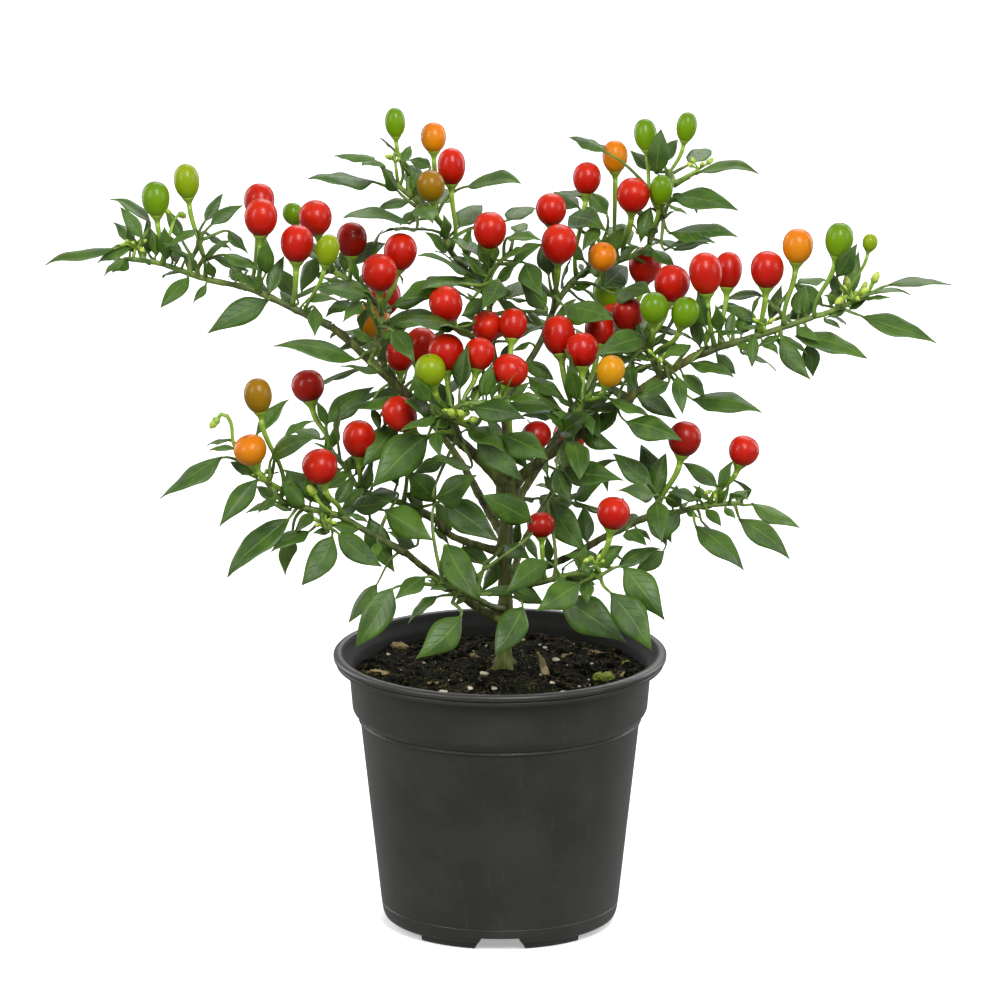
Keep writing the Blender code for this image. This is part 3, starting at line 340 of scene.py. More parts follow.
class Finish:
    """A material under construction."""

    def __init__(self, name):
        self.material = bpy.data.materials.new(name)
        self.material.use_nodes = True
        self.tree = self.material.node_tree
        self.shader = self.tree.nodes["Principled BSDF"]
        self.place = self.node("ShaderNodeTexCoord", {}, {}, "Object")

    def node(self, kind, settings, values, output=0):
        """Adds a node: its settings first, then values or wires for its sockets. Returns an output."""
        made = self.tree.nodes.new(kind)
        for key, value in settings.items():
            setattr(made, key, value)
        pairs = values.items() if isinstance(values, dict) else enumerate(values)
        for key, value in pairs:
            self.plug(made.inputs[key], value)
        return Wire(self, made.outputs[output])

    def plug(self, socket, value):
        """Links or sets a socket. A colour is given as seen on screen, 0 to 255."""
        if isinstance(value, Wire):
            self.tree.links.new(value.socket, socket)
        elif socket.type == "RGBA":
            socket.default_value = (*linear(value), 1.0)
        else:
            socket.default_value = value

    def set(self, **values):
        """Sets or links the shader's sockets, an underscore standing for a space."""
        for key, value in values.items():
            self.plug(self.shader.inputs[key.replace("_", " ")], value)
        return self

    def mix(self, share, first, second):
        """Colour between two colours."""
        return self.node("ShaderNodeMix", {"data_type": "RGBA"}, {0: share, 6: first, 7: second}, 2)

    def layers(self, tone, *over):
        """A tone with others laid over it in turn, each given with the share that it covers."""
        for share, next_tone in over:
            tone = self.mix(share, tone, next_tone)
        return tone

    def noise(self, scale, detail=3.0, stretch=None, roughness=0.55):
        """Cloudy pattern from 0 to 1, scale being patches to the metre."""
        place = self.place
        if stretch:
            place = self.node("ShaderNodeMapping", {}, {"Vector": place, "Scale": stretch})
        pattern = {"Vector": place, "Scale": scale, "Detail": detail, "Roughness": roughness}
        return self.node("ShaderNodeTexNoise", {}, pattern)

    def spots(self, scale, randomness=1.0):
        """Distance to the nearest of many scattered points."""
        return self.node(
            "ShaderNodeTexVoronoi", {}, {"Vector": self.place, "Scale": scale, "Randomness": randomness}
        )

    def height(self):
        """Metres above the floor."""
        return self.node("ShaderNodeSeparateXYZ", {}, {0: self.place}, 2)

    def marked(self, name):
        """The number that a piece stores at its corners."""
        return self.node("ShaderNodeAttribute", {"attribute_name": name}, {}, "Fac")

    def leaf_place(self):
        """Share along the leaf and across it, from the blade's own map."""
        flat = self.node("ShaderNodeUVMap", {"uv_map": "blade"}, {})
        apart = self.node("ShaderNodeSeparateXYZ", {}, {0: flat})
        sockets = apart.socket.node.outputs
        return Wire(self, sockets["Y"]), Wire(self, sockets["X"])

    def bump(self, height, millimetres):
        """Surface relief of a given depth."""
        relief = {"Height": height, "Distance": millimetres * MM}
        return self.set(Normal=self.node("ShaderNodeBump", {}, relief))


def two_tone(name, scale, detail, edges, dark, light, roughness, relief):
    """A finish of two tones that follow one cloudy pattern, which also raises the surface."""
    finish = Finish(name)
    cloud = finish.noise(scale, detail)
    share = cloud.step(*edges) if edges else cloud
    finish.set(Base_Color=finish.mix(share, dark, light), Roughness=roughness)
    return finish.bump(cloud, relief)


print("finishes can be built")

# %% [markdown]
# ## The pot's plastic
#
# Nursery pots are injection-moulded from recycled black plastic. It is charcoal rather than black, dull
# with a faint sheen, and never quite even: cloudy patches, a fine grain from the mould, light rubs along
# raised edges and a little dust of dried compost low on the wall.

# %% Pot plastic
pot_black = Finish("pot_black")
cloud = pot_black.noise(35.0, 4.0)
grain = pot_black.noise(2600.0, 2.0)
rubs = pot_black.noise(90.0, 6.0, (1.0, 1.0, 7.0)).step(0.60, 0.72)
dust = pot_black.noise(240.0, 5.0).step(0.55, 0.75)
scratches = pot_black.noise(420.0, 2.0, (1.0, 1.0, 0.06)).step(0.63, 0.70)
# Painted shade: the inner wall above 60 mm is mixed to near black and made duller.
inside = pot_black.marked("inside")
charcoal = pot_black.layers(
    (36, 37, 33), (cloud.step(0.3, 0.7), (48, 49, 44)), (rubs * 0.2, (58, 60, 58)),
    (scratches * 0.07, (90, 92, 88)), (dust * 0.06, (80, 74, 62)), (inside, (9, 9, 7)),
)
pot_black.set(Base_Color=charcoal, Roughness=0.36 + 0.10 * cloud + 0.12 * dust + 0.4 * inside)
pot_black.bump(grain * 0.5 + cloud * 1.5, 0.05)
print("plastic mixed")

# %% [markdown]
# ## Potting mix, perlite and bark chips
#
# Potting mix is moist peat: almost black in its hollows, brown and fibrous where it has dried. Perlite is
# puffed white glass, greyed by the peat around it, and the chips are tan softwood bark. The peat's colour
# follows a coarse pattern and a fine one, as lumps and fibres do.

# %% Potting mix, perlite, chips and moss
peat = Finish("peat")
lumps = peat.noise(300.0, 8.0, roughness=0.7)
strands = peat.noise(1100.0, 4.0, (1.0, 0.22, 1.0))
crossed = peat.noise(1000.0, 4.0, (0.25, 1.0, 0.8))
earth = peat.layers(
    (5, 5, 2), (lumps.step(0.42, 0.70), (24, 21, 10)), (strands.step(0.58, 0.70) * 0.8, (78, 78, 28)),
    (crossed.step(0.61, 0.71) * 0.75, (116, 112, 56)),
    (peat.noise(70.0).step(0.56, 0.72) * 0.4, (38, 42, 14)),
)
peat.set(Base_Color=earth, Roughness=1.0 - 0.25 * lumps, Specular_IOR_Level=0.08)
peat.bump(lumps + 0.5 * strands + 0.4 * crossed, 0.9)

perlite_white = Finish("perlite_white")
stain = perlite_white.noise(700.0, 5.0).step(0.45, 0.7)
perlite_white.set(Base_Color=perlite_white.mix(stain, (214, 208, 182), (150, 138, 100)), Roughness=0.9)
perlite_white.bump(perlite_white.spots(2400.0), 0.25)

chip_tan = Finish("chip_tan")
fibre = chip_tan.noise(700.0, 5.0, (0.3, 1.0, 1.0))
rot = chip_tan.noise(150.0).step(0.5, 0.7)
tan = chip_tan.layers((92, 76, 42), (fibre, (176, 154, 104)), (rot, (70, 50, 32)))
chip_tan.set(Base_Color=tan, Roughness=0.85)
chip_tan.bump(fibre, 0.4)

root_brown = two_tone("root_brown", 260.0, 3.0, (0.35, 0.65), (46, 36, 20), (104, 84, 48), 0.8, 0.1)
moss_green = two_tone("moss_green", 500.0, 4.0, None, (62, 82, 14), (140, 152, 48), 0.8, 0.4)

root_pale = Finish("root_pale")
rise_in_soil = root_pale.height().step(0.101, 0.109)
worn = root_pale.noise(420.0, 5.0, (1.0, 1.0, 0.3))
root_tone = root_pale.layers(
    (96, 78, 48), (worn.step(0.35, 0.65), (176, 156, 116)), (rise_in_soil * 0.7, (84, 92, 36)),
)
root_pale.set(Base_Color=root_tone, Roughness=0.8)
root_pale.bump(worn, 0.3)
print("ground covers mixed")

# %% [markdown]
# ## Wood and twigs
#
# The old stem is between green and brown, with pale corky streaks along it. Towards the tips a twig turns
# fresh green, so each twig stores its age at its corners and the finish mixes by that.

# %% Bark and twig
bark = Finish("bark")
streak = bark.noise(420.0, 6.0, (1.0, 1.0, 0.12))
cork = bark.noise(110.0, 4.0, (1.0, 1.0, 0.4)).step(0.52, 0.70)
lenticels = bark.spots(480.0).step(0.22, 0.12)
mossy = bark.height().step(0.122, 0.100) * bark.noise(200.0, 4.0).step(0.3, 0.6)
old = bark.layers(
    (44, 50, 16), (streak.step(0.35, 0.65), (92, 98, 38)), (cork * 0.5, (124, 120, 60)),
    (mossy * 0.7, (66, 84, 18)), (lenticels * 0.35, (150, 140, 92)),
)
bark.set(Base_Color=old, Roughness=0.68 + 0.2 * streak)
bark.bump(streak + 0.5 * cork, 0.35)

twig_green = Finish("twig_green")
freshness = twig_green.marked("freshness")
mottle = twig_green.noise(260.0, 4.0, (1.0, 1.0, 0.5))
young = twig_green.mix(mottle.step(0.35, 0.7), (70, 98, 24), (112, 140, 46))
woody = twig_green.mix(mottle.step(0.3, 0.7), (46, 54, 20), (82, 90, 38))
joint = twig_green.marked("joint")
twig_tone = twig_green.layers(woody, (freshness, young), (joint * 0.6, (124, 148, 66)))
twig_green.set(Base_Color=twig_tone, Roughness=0.5 + 0.2 * mottle)
twig_green.bump(mottle, 0.15)
print("bark and twig mixed")

# %% [markdown]
# ## Leaf
#
# A chilli leaf is deep green and softly shiny above, paler and duller below. A pale rib runs down its
# middle, and six or seven pairs of side veins sweep forward from it. The blade carries its own flat map,
# so the veins are drawn by arithmetic on the share along the leaf and across it: no picture is needed, and
# the veins bend with the blade.

# %% Leaf finish
SIDE_VEINS = 7.0
VEIN_SWEEP = 1.55


def leaf_finish(name, deep_tone, light_tone, under_tone, rib_tone):
    leaf = Finish(name)
    along, across = leaf.leaf_place()
    off_rib = abs(across - 0.5) * 2.0
    rib = off_rib.step(0.075, 0.015) * (1.0 - along * 0.35)
    phase = along * SIDE_VEINS - off_rib * VEIN_SWEEP
    wave = abs(leaf.node("ShaderNodeMath", {"operation": "FRACT"}, (phase + 10.0,)) - 0.5) * 2.0
    veins = wave.step(0.84, 0.98) * off_rib.step(1.0, 0.55) * 0.75
    cells = leaf.spots(1500.0)
    blotch = leaf.noise(120.0, 4.0)
    under = leaf.marked("under")
    hue = leaf.marked("tint")
    below = leaf.mix(blotch * 0.5, under_tone, light_tone)
    newest = leaf.mix(rib, (112, 154, 52), (156, 186, 84))
    face = leaf.layers(
        deep_tone, (blotch.step(0.3, 0.72) * 0.6 + hue * 0.6, light_tone),
        (off_rib.step(0.5, 1.0) * 0.25, light_tone), (under, below),
        (veins * 0.06, rib_tone), (rib * 0.28, rib_tone), (leaf.marked("fresh"), newest),
    )
    leaf.set(
        Base_Color=face,
        Roughness=0.38 + 0.12 * blotch + 0.18 * under + 0.05 * cells,
        Specular_IOR_Level=0.42,
    )
    leaf.bump((1.0 - veins) * 0.8 + (1.0 - rib) * 0.6 + cells * 0.12, 0.15)
    return leaf


leaf_green = leaf_finish("leaf_green", (28, 54, 6), (70, 104, 20), (94, 124, 50), (132, 160, 66))
print("leaf mixed")

# %% [markdown]
# ## Berry skins
#
# The berries ripen from green through lime, olive, gold and orange to red and at last a dark wine red. Each
# skin is waxy and bright, with a tone that drifts from the cup to the tip and faint streaks where one
# colour gives way to the next. On the red, dark and maroon skins the darker cup end is partly painted shade,
# and on the red and dark ones the lighter, more orange tip is partly painted light from above. One function
# mixes all of them from three tones.

# %% Berry, stalk and bud finishes
def skin_finish(name, foot_tone, body_tone, tip_tone, patches):
    skin = Finish(name)
    rise = skin.marked("rise")
    drift = skin.noise(75.0, 3.0)
    streaks = skin.noise(420.0, 3.0, (1.0, 1.0, 0.3))
    scar = rise.step(0.992, 0.999)
    # On red skins the dark cup end is partly painted shade and the light tip partly painted light.
    tone = skin.layers(
        foot_tone, (rise.step(0.0, 0.42), body_tone), (rise.step(0.62, 1.0) * 0.6, tip_tone),
        (drift.step(0.42, 0.72) * patches, tip_tone), (streaks.step(0.55, 0.8) * patches * 0.5, foot_tone),
        (scar * 0.6, (92, 60, 30)),
    )
    skin.set(
        Base_Color=tone, Roughness=0.34 + 0.10 * drift, Coat_Weight=0.22, Coat_Roughness=0.2,
        Specular_IOR_Level=0.15,
    )
    skin.bump(drift + 0.15 * skin.noise(1400.0), 0.12)
    return skin


# Tones at the cup, round the middle and at the tip, and how patchy the skin is
SKIN_TONES = {
    "green": ((118, 148, 20), (98, 134, 2), (80, 114, 2), 0.3),
    "lime": ((108, 146, 14), (120, 142, 2), (132, 144, 2), 0.3),
    "olive": ((102, 110, 8), (132, 98, 2), (140, 94, 2), 0.5),
    "gold": ((178, 142, 8), (192, 134, 2), (196, 126, 2), 0.3),
    "orange": ((178, 128, 4), (198, 118, 2), (200, 100, 2), 0.3),
    # Red, dark and maroon: the darker cup tone is partly painted shade; red and dark tips partly painted
    # light.
    "red": ((124, 7, 1), (168, 14, 1), (192, 38, 2), 0.5),
    "dark": ((96, 6, 2), (142, 14, 2), (164, 26, 3), 0.5),
    "maroon": ((112, 10, 3), (158, 20, 3), (140, 18, 4), 0.5),
}
SKINS = {ripeness: skin_finish("skin_" + ripeness, *tones) for ripeness, tones in SKIN_TONES.items()}

stalk_green = Finish("stalk_green")
height = stalk_green.marked("rise")
ribbing = stalk_green.noise(700.0, 3.0, (1.0, 1.0, 0.1))
stalk_tone = stalk_green.layers(
    (82, 112, 26), (height.step(0.1, 0.95), (128, 160, 46)), (ribbing.step(0.5, 0.7) * 0.4, (70, 104, 36)),
)
stalk_green.set(Base_Color=stalk_tone, Roughness=0.42)
stalk_green.bump(ribbing, 0.12)

bud_yellow = two_tone("bud_yellow", 420.0, 3.0, (0.3, 0.7), (136, 168, 46), (188, 198, 84), 0.5, 0.15)
print(len(SKINS), "skins, stalk and bud mixed")

# %% [markdown]
# ## The plan of the plant
#
# The frame's bodies were grown from a plan, in millimetres: knots of the woody branches, and for each leafy
# shoot the knots of its twig, its leaves and its berries. The same plan serves here, so that each fine leaf
# lies where the plain one lies. A leaf's row gives the blade's base, its tip, and how far the blade turns
# to face outwards. A berry's row gives its centre, width, height, the stalk's foot, its ripeness, and 1
# where it is a body of its own.

# %% Branches, shoots and berries
Shoot = namedtuple("Shoot", "path leaves fruits")

# The woody stem: name, foot radius, tip radius and the knots of each branch
STEM = (
    ("trunk", 3.5, 3.1, (
        (1.5, 0, 88), (1.5, 0, 104), (2, 0, 123), (2, 0, 150), (3, 0, 165), (3, 0, 179),
    )),
    ("leader", 2.6, 1.7, ((3, 0, 172), (2, 0, 192), (2, 1, 203), (0, 3, 217))),
    ("left_limb", 2.9, 1.9, (
        (3, 0, 175), (-8, -3, 188), (-27, -7, 206), (-46, -10, 225), (-60, -12, 239), (-66, -12, 244),
    )),
    ("right_limb", 2.9, 1.9, ((3, 0, 174), (12, -2, 184), (35, -7, 202), (54, -9, 217), (77, -10, 232))),
    ("low_left", 2.2, 1.6, ((2, 0, 121), (-8, -6, 128), (-25, -18, 144), (-37, -28, 157))),
    ("mid_left", 2.0, 1.6, ((2, 0, 149), (-8, -4, 153), (-19, -7, 158), (-26, -10, 166))),
    ("low_right", 2.2, 1.6, ((2, 0, 133), (12, -4, 142), (28, -11, 151), (44, -16, 162))),
    ("back_left", 2.2, 1.7, ((2, 0, 155), (-6, 13, 165), (-14, 28, 176), (-22, 40, 185))),
    ("back_right", 2.2, 1.7, ((2, 0, 162), (10, 13, 172), (20, 27, 185), (28, 38, 196))),
    ("back_low", 2.0, 1.6, ((2, 0, 128), (5, 12, 137), (9, 25, 146), (14, 36, 152))),
)

# Each shoot: its twig's knots, its leaves and its berries
FRONT_SHOOTS = {
    "left_tip": Shoot([
        (-66, -12, 244), (-79, -11, 250), (-97, -9, 258), (-115, -8, 262), (-132, -8, 268), (-145, -8, 270),
    ], [
        (-150, -8, 274, -177, -14, 269, 0.15), (-146, -14, 272, -154, -24, 267, 0.2),
        (-136, -2, 283, -152, 8, 290, 0.1), (-139, -12, 279, -148, -4, 290, 0.8),
        (-143, 2, 273, -151, 14, 279, 0.2), (-115, 4, 282, -108, 12, 291, 0.3),
        (-113, -6, 283, -100, 2, 289, 0.5), (-118, -16, 284, -130, -26, 279, 0.2),
        (-118, -14, 270, -128, -24, 278, 0.2), (-121, -14, 264, -132, -26, 255, 0.6),
        (-90, -14, 255, -114, -24, 244, 0.75), (-116, 8, 277, -105, 16, 267, 0.3),
        (-106, 2, 279, -98, -8, 272, 0.3), (-108, -16, 274, -93, -24, 269, 0.4),
        (-97, -2, 262, -89, -14, 255, 0.3), (-72, -20, 254, -72, -32, 245, 0.6),
        (-124, -2, 276, -131, 6, 287, 0.5), (-115, -14, 272, -104, -22, 281, 0.4),
        (-98, 0, 263, -113, 8, 266, 0.3), (-93, -16, 261, -106, -24, 267, 0.4),
        (-90, 2, 253, -84, 12, 266, 0.6), (-79, 6, 250, -90, 18, 260, 0.6),
        (-137, -2, 270, -138, 6, 282, 0.4),
    ], [
        (-134, -8, 294, 11, 14, -132, -8, 269, "green", 0),
        (-122, -4, 300, 10, 14, -117, -7, 267, "lime", 0), (-94, 16, 287, 12, 14, -93, 8, 267, "red", 0),
        (-93, -10, 287, 13, 15, -93, -9, 262, "red", 1), (-79, -12, 277, 13, 15, -79, -11, 253, "red", 1),
        (-67, -18, 276, 9, 13, -74, -13, 256, "lime", 0),
    ]),
    "left_inner": Shoot([
        (-51, -9, 230), (-47, 0, 237), (-47, 10, 245), (-54, 21, 250), (-63, 29, 254), (-70, 34, 257),
    ], [
        (-62, 26, 260, -45, 36, 265, 0.2), (-44, -3, 244, -21, -16, 247, 0.4),
        (-42, -18, 244, -33, -31, 234, 0.8), (-47, -29, 230, -62, -39, 235, 0.2),
        (-72, 10, 254, -50, -8, 256, 0.3), (-56, -26, 234, -88, -39, 243, 0.3),
        (-67, 44, 255, -79, 60, 260, 0.3), (-55, 34, 249, -43, 52, 251, 0.2),
        (-59, 5, 250, -68, -10, 247, 0.3), (-54, -16, 255, -61, -28, 250, 0.6),
        (-52, -18, 258, -71, -30, 264, 0.4), (-45, 20, 262, -38, 34, 249, 0.4),
    ], [
        (-81, 31, 278, 8, 9, -71, 34, 257, "green", 0), (-72, 13, 281, 13, 14, -70, 31, 256, "red", 1),
        (-58, 29, 268, 12, 14, -60, 26, 253, "dark", 0), (-39, 10, 268, 13, 15, -45, 10, 244, "red", 1),
        (-47, -3, 263, 14, 15, -47, 8, 244, "red", 1),
    ]),
    "middle": Shoot([
        (0, 3, 217), (-4, 8, 236), (-4, 12, 248), (-4, 12, 256), (-3, 12, 264),
    ], [
        (3, 7, 275, 16, -5, 277, 0.3), (6, 22, 273, 11, 36, 272, 0.2), (10, -5, 268, 17, -22, 258, 0.7),
        (-8, 26, 260, -19, 41, 256, 0.2), (0, -7, 261, -7, -24, 254, 0.5),
        (-12, -5, 253, -23, -17, 262, 0.3), (2, 26, 245, 12, 43, 248, 0.3),
        (-23, -4, 259, -40, -16, 255, 0.5), (-7, 0, 252, -15, -12, 248, 0.6),
        (-5, 16, 252, -12, 26, 260, 0.5), (-1, 0, 266, 11, -10, 275, 0.3),
        (-17, -14, 244, -39, -26, 249, 0.3), (11, -10, 223, 25, -20, 217, 0.4),
        (18, 4, 247, 8, 16, 254, 0.6),
    ], [
        (-4, 5, 278, 13, 15, -4, 12, 264, "red", 1), (-21, -17, 254, 13, 15, -8, 2, 235, "red", 1),
        (-5, -10, 243, 12, 13, -4, 5, 230, "red", 1),
    ]),
    "top_left": Shoot([
        (-4, 12, 252), (-10, 26, 251), (-14, 32, 256), (-20, 35, 263), (-23, 38, 272), (-31, 38, 280),
        (-38, 38, 286), (-40, 38, 289),
    ], [
        (-49, 42, 297, -65, 56, 295, 0.1), (-46, 28, 299, -54, 14, 302, 0.1),
        (-49, 35, 290, -75, 24, 294, 0.2), (-42, 49, 300, -47, 60, 301, 0.1),
        (-42, 21, 298, -46, 4, 295, 0.5), (-35, 49, 294, -28, 66, 294, 0.2),
        (-13, 32, 289, 8, 18, 294, 0.3), (-35, 24, 276, -61, 7, 283, 0.2), (-33, 18, 275, -41, 4, 278, 0.1),
        (-31, 18, 285, -26, -4, 283, 0.5), (-16, 38, 271, -7, 56, 275, 0.4), (3, 52, 270, 14, 70, 270, 0.2),
        (-13, 14, 259, -32, -7, 271, 0.3), (-17, 10, 258, -31, -10, 258, 0.3),
        (-27, 60, 274, -19, 80, 275, 0.2), (-40, 32, 287, -47, 24, 299, 0.5),
        (-27, 46, 293, -36, 54, 294, 0.5), (-38, 44, 295, -35, 52, 300, 0.3),
        (-23, 18, 276, -32, 6, 289, 0.5),
    ], [
        (-41, 38, 313, 8, 12, -40, 38, 289, "green", 0), (-26, 46, 305, 10, 12, -28, 42, 278, "orange", 1),
        (-19, 35, 296, 11, 15, -20, 37, 268, "red", 1), (-27, 24, 291, 11, 13, -25, 35, 272, "olive", 1),
    ]),
    "top_right": Shoot([
        (1, 2, 209), (8, 8, 219), (16, 18, 230), (22, 29, 242), (30, 36, 251), (39, 40, 254), (47, 43, 256),
        (56, 43, 260), (59, 43, 264), (63, 43, 276), (67, 43, 286), (71, 43, 289),
    ], [
        (41, 47, 299, 27, 61, 301, 0.1), (76, 40, 292, 101, 25, 296, 0.2), (68, 32, 285, 93, 14, 284, 0.4),
        (66, 18, 285, 73, 0, 286, 0.2), (66, 32, 270, 93, 18, 272, 0.3), (64, 29, 264, 84, 14, 271, 0.2),
        (59, 18, 266, 64, 0, 267, 0.2), (32, 54, 279, 23, 72, 276, 0.1), (27, 47, 273, 42, 22, 273, 0.4),
        (25, 7, 247, 44, -14, 247, 0.5), (45, 11, 251, 59, -11, 257, 0.5), (40, 47, 244, 50, 68, 247, 0.7),
        (74, 54, 292, 83, 76, 292, 0.2), (51, 61, 258, 44, 83, 259, 0.3), (18, 32, 231, 8, 54, 230, 0.3),
        (19, 16, 257, 17, 28, 268, 0.7), (31, 38, 279, 21, 50, 282, 0.5), (39, 24, 275, 32, 12, 268, 0.6),
        (42, 42, 275, 35, 54, 281, 0.5), (59, 38, 279, 55, 28, 267, 0.8), (61, 48, 291, 51, 58, 297, 0.4),
        (64, 46, 295, 70, 56, 302, 0.4), (59, 38, 291, 66, 30, 304, 0.5), (33, 20, 262, 23, 10, 272, 0.5),
    ], [
        (57, 50, 305, 9, 13, 64, 43, 285, "green", 0), (73, 43, 310, 8, 12, 65, 43, 286, "green", 0),
        (63, 29, 288, 9, 13, 58, 41, 263, "green", 0), (20, 22, 282, 12, 13, 22, 29, 244, "red", 1),
        (23, 7, 272, 14, 16, 22, 25, 243, "red", 1), (34, 40, 290, 11, 13, 31, 36, 252, "red", 1),
        (45, 47, 297, 10, 13, 44, 43, 256, "orange", 1), (52, 29, 286, 13, 14, 47, 41, 256, "red", 1),
        (40, 14, 265, 11, 12, 36, 36, 254, "orange", 1),
    ]),
    "right_tip": Shoot([
        (77, -10, 232), (92, -10, 237), (102, -10, 240), (122, -10, 247), (128, -10, 249), (137, -10, 253),
    ], [
        (102, 2, 253, 87, 12, 247, 0.3), (85, 2, 248, 100, 14, 239, 0.2), (84, -16, 243, 95, -26, 244, 0.2),
        (99, -18, 242, 98, -26, 231, 0.95), (74, -16, 230, 91, -26, 227, 0.3),
        (109, -16, 240, 121, -26, 226, 0.8), (115, -12, 240, 143, -20, 233, 0.4),
        (141, -12, 248, 170, -18, 239, 0.4), (151, -10, 260, 176, -10, 260, 0.2),
        (145, -4, 255, 160, 6, 252, 0.2), (141, -16, 256, 152, -26, 259, 0.2),
        (134, -6, 253, 140, 4, 270, 0.3), (126, -4, 250, 114, 8, 256, 0.5),
        (116, 8, 256, 129, 20, 253, 0.2), (94, 0, 230, 108, 14, 219, 0.3), (101, -4, 243, 87, 8, 247, 0.5),
        (105, 0, 243, 110, 10, 255, 0.7), (112, -2, 244, 126, 10, 249, 0.6), (78, -2, 233, 74, 8, 244, 0.5),
        (133, -4, 253, 129, 6, 261, 0.4),
    ], [
        (132, -10, 278, 11, 14, 129, -10, 251, "green", 0), (144, -10, 277, 6, 7, 139, -10, 254, "lime", 0),
        (80, -12, 265, 13, 17, 81, -10, 235, "red", 1), (89, 4, 262, 11, 15, 83, -8, 236, "red", 1),
        (104, -10, 266, 13, 15, 103, -10, 242, "red", 1),
        (116, -8, 275, 12, 14, 109, -10, 243, "orange", 1),
    ]),
    "right_inner": Shoot([
        (63, -10, 223), (59, -2, 229), (55, 7, 232), (50, 17, 229),
    ], [
        (62, -17, 237, 47, -26, 235, 0.5), (57, -10, 239, 37, -24, 235, 0.6),
        (69, -24, 227, 71, -36, 215, 0.8), (75, -22, 217, 102, -34, 215, 0.4),
        (64, 12, 236, 74, 26, 229, 0.2), (49, -22, 208, 71, -36, 204, 0.5), (47, 29, 226, 39, 43, 233, 0.3),
        (74, -26, 240, 63, -36, 237, 0.5), (66, -26, 225, 54, -36, 220, 0.6),
        (50, -14, 229, 53, -26, 221, 0.6), (69, -24, 237, 79, -32, 248, 0.5),
    ], [
        (60, -19, 253, 11, 13, 63, -12, 229, "green", 0), (72, -22, 252, 11, 13, 66, -14, 228, "green", 0),
        (67, 7, 256, 14, 15, 59, 0, 231, "red", 1), (50, 5, 244, 12, 15, 53, 10, 229, "dark", 1),
    ]),
    "centre_right": Shoot([
        (26, -6, 194), (28, -18, 206), (32, -22, 215), (36, -25, 221),
    ], [
        (23, -22, 203, 36, -35, 215, 0.6), (39, -18, 219, 50, -30, 225, 0.3),
        (24, -28, 191, 48, -42, 190, 0.6), (22, -25, 190, 28, -40, 179, 0.9),
        (29, -5, 208, 39, -22, 201, 0.4),
    ], [
        (39, 8, 237, 12, 14, 35, -18, 220, "red", 0), (32, -15, 235, 13, 14, 34, -22, 219, "red", 1),
        (43, -32, 231, 11, 13, 40, -25, 213, "gold", 1), (23, -8, 239, 13, 16, 25, -12, 222, "red", 1),
    ]),
    "centre_left": Shoot([
        (-15, -5, 194), (-17, -22, 205), (-19, -32, 213), (-15, -38, 219), (-4, -38, 220), (4, -35, 220),
    ], [
        (-11, -46, 220, 10, -59, 219, 0.6), (-9, -32, 205, 9, -49, 191, 0.9),
        (-28, -27, 204, -50, -43, 187, 0.9), (-11, -24, 190, -29, -40, 197, 0.3),
        (-25, -32, 180, -9, -49, 194, 0.6), (1, -38, 207, 19, -54, 201, 0.6),
        (-27, -27, 215, -37, -40, 221, 0.6), (-12, -22, 218, 0, -14, 223, 0.3),
        (-27, -36, 220, -34, -46, 233, 0.5), (-25, -40, 209, -23, -50, 201, 0.7),
        (3, -20, 215, 22, -30, 214, 0.3), (5, -26, 198, 11, -34, 192, 0.6),
        (-10, -24, 241, -24, -30, 248, 0.4),
    ], [
        (-27, -38, 233, 12, 13, -23, -30, 210, "lime", 0), (-21, -30, 238, 14, 15, -20, -32, 215, "red", 1),
        (-8, -32, 238, 12, 13, -14, -38, 219, "red", 1), (-39, -22, 211, 13, 15, -23, -19, 200, "red", 1),
        (5, -14, 245, 11, 13, 5, -32, 220, "red", 1), (4, -35, 232, 14, 13, 2, -36, 221, "red", 1),
        (14, -27, 204, 11, 12, 5, -34, 218, "dark", 0),
    ]),
    "low_left": Shoot([
        (-37, -28, 157), (-51, -32, 166), (-62, -34, 173), (-74, -37, 177), (-84, -38, 180),
        (-89, -39, 186), (-93, -39, 192),
    ], [
        (-108, -41, 199, -132, -51, 185, 0.3), (-94, -48, 192, -109, -60, 176, 0.7),
        (-82, -44, 175, -106, -57, 155, 0.4), (-74, -41, 169, -89, -53, 164, 0.35),
        (-81, -28, 162, -84, -18, 145, 0.1), (-65, -48, 169, -77, -62, 153, 0.8),
        (-63, -51, 171, -46, -67, 162, 0.85), (-95, -34, 206, -82, -25, 218, 0.4),
        (-84, -41, 207, -72, -34, 212, 0.3), (-89, -46, 200, -72, -57, 211, 0.6),
        (-87, -51, 186, -94, -62, 182, 0.4), (-104, -34, 204, -114, -28, 200, 0.2),
        (-68, -23, 181, -58, -9, 185, 0.5), (-68, -28, 176, -85, -18, 188, 0.7),
        (-64, -30, 177, -57, -22, 186, 0.7), (-88, -34, 179, -99, -40, 176, 0.4),
        (-40, -20, 179, -52, -30, 180, 0.4),
    ], [
        (-94, -39, 223, 11, 14, -90, -39, 187, "olive", 1),
        (-97, -46, 203, 13, 12, -87, -40, 183, "orange", 1),
        (-70, -41, 195, 14, 14, -63, -37, 175, "red", 1),
    ]),
    "mid_left": Shoot([
        (-26, -10, 166), (-39, -13, 173), (-54, -13, 178), (-61, -9, 187), (-68, -4, 193),
    ], [
        (-51, -24, 170, -41, -40, 152, 0.9), (-45, -24, 173, -26, -40, 165, 0.85),
        (-68, -2, 202, -49, 9, 214, 0.5), (-58, -22, 174, -42, -33, 179, 0.6),
        (-70, 7, 193, -82, 20, 194, 0.3), (-61, 4, 182, -50, 18, 186, 0.4),
        (-25, -20, 175, -37, -30, 191, 0.75), (-41, -14, 216, -61, -26, 212, 0.3),
        (-40, -12, 204, -54, -24, 190, 0.6), (-33, -24, 158, -44, -34, 167, 0.5),
    ], [
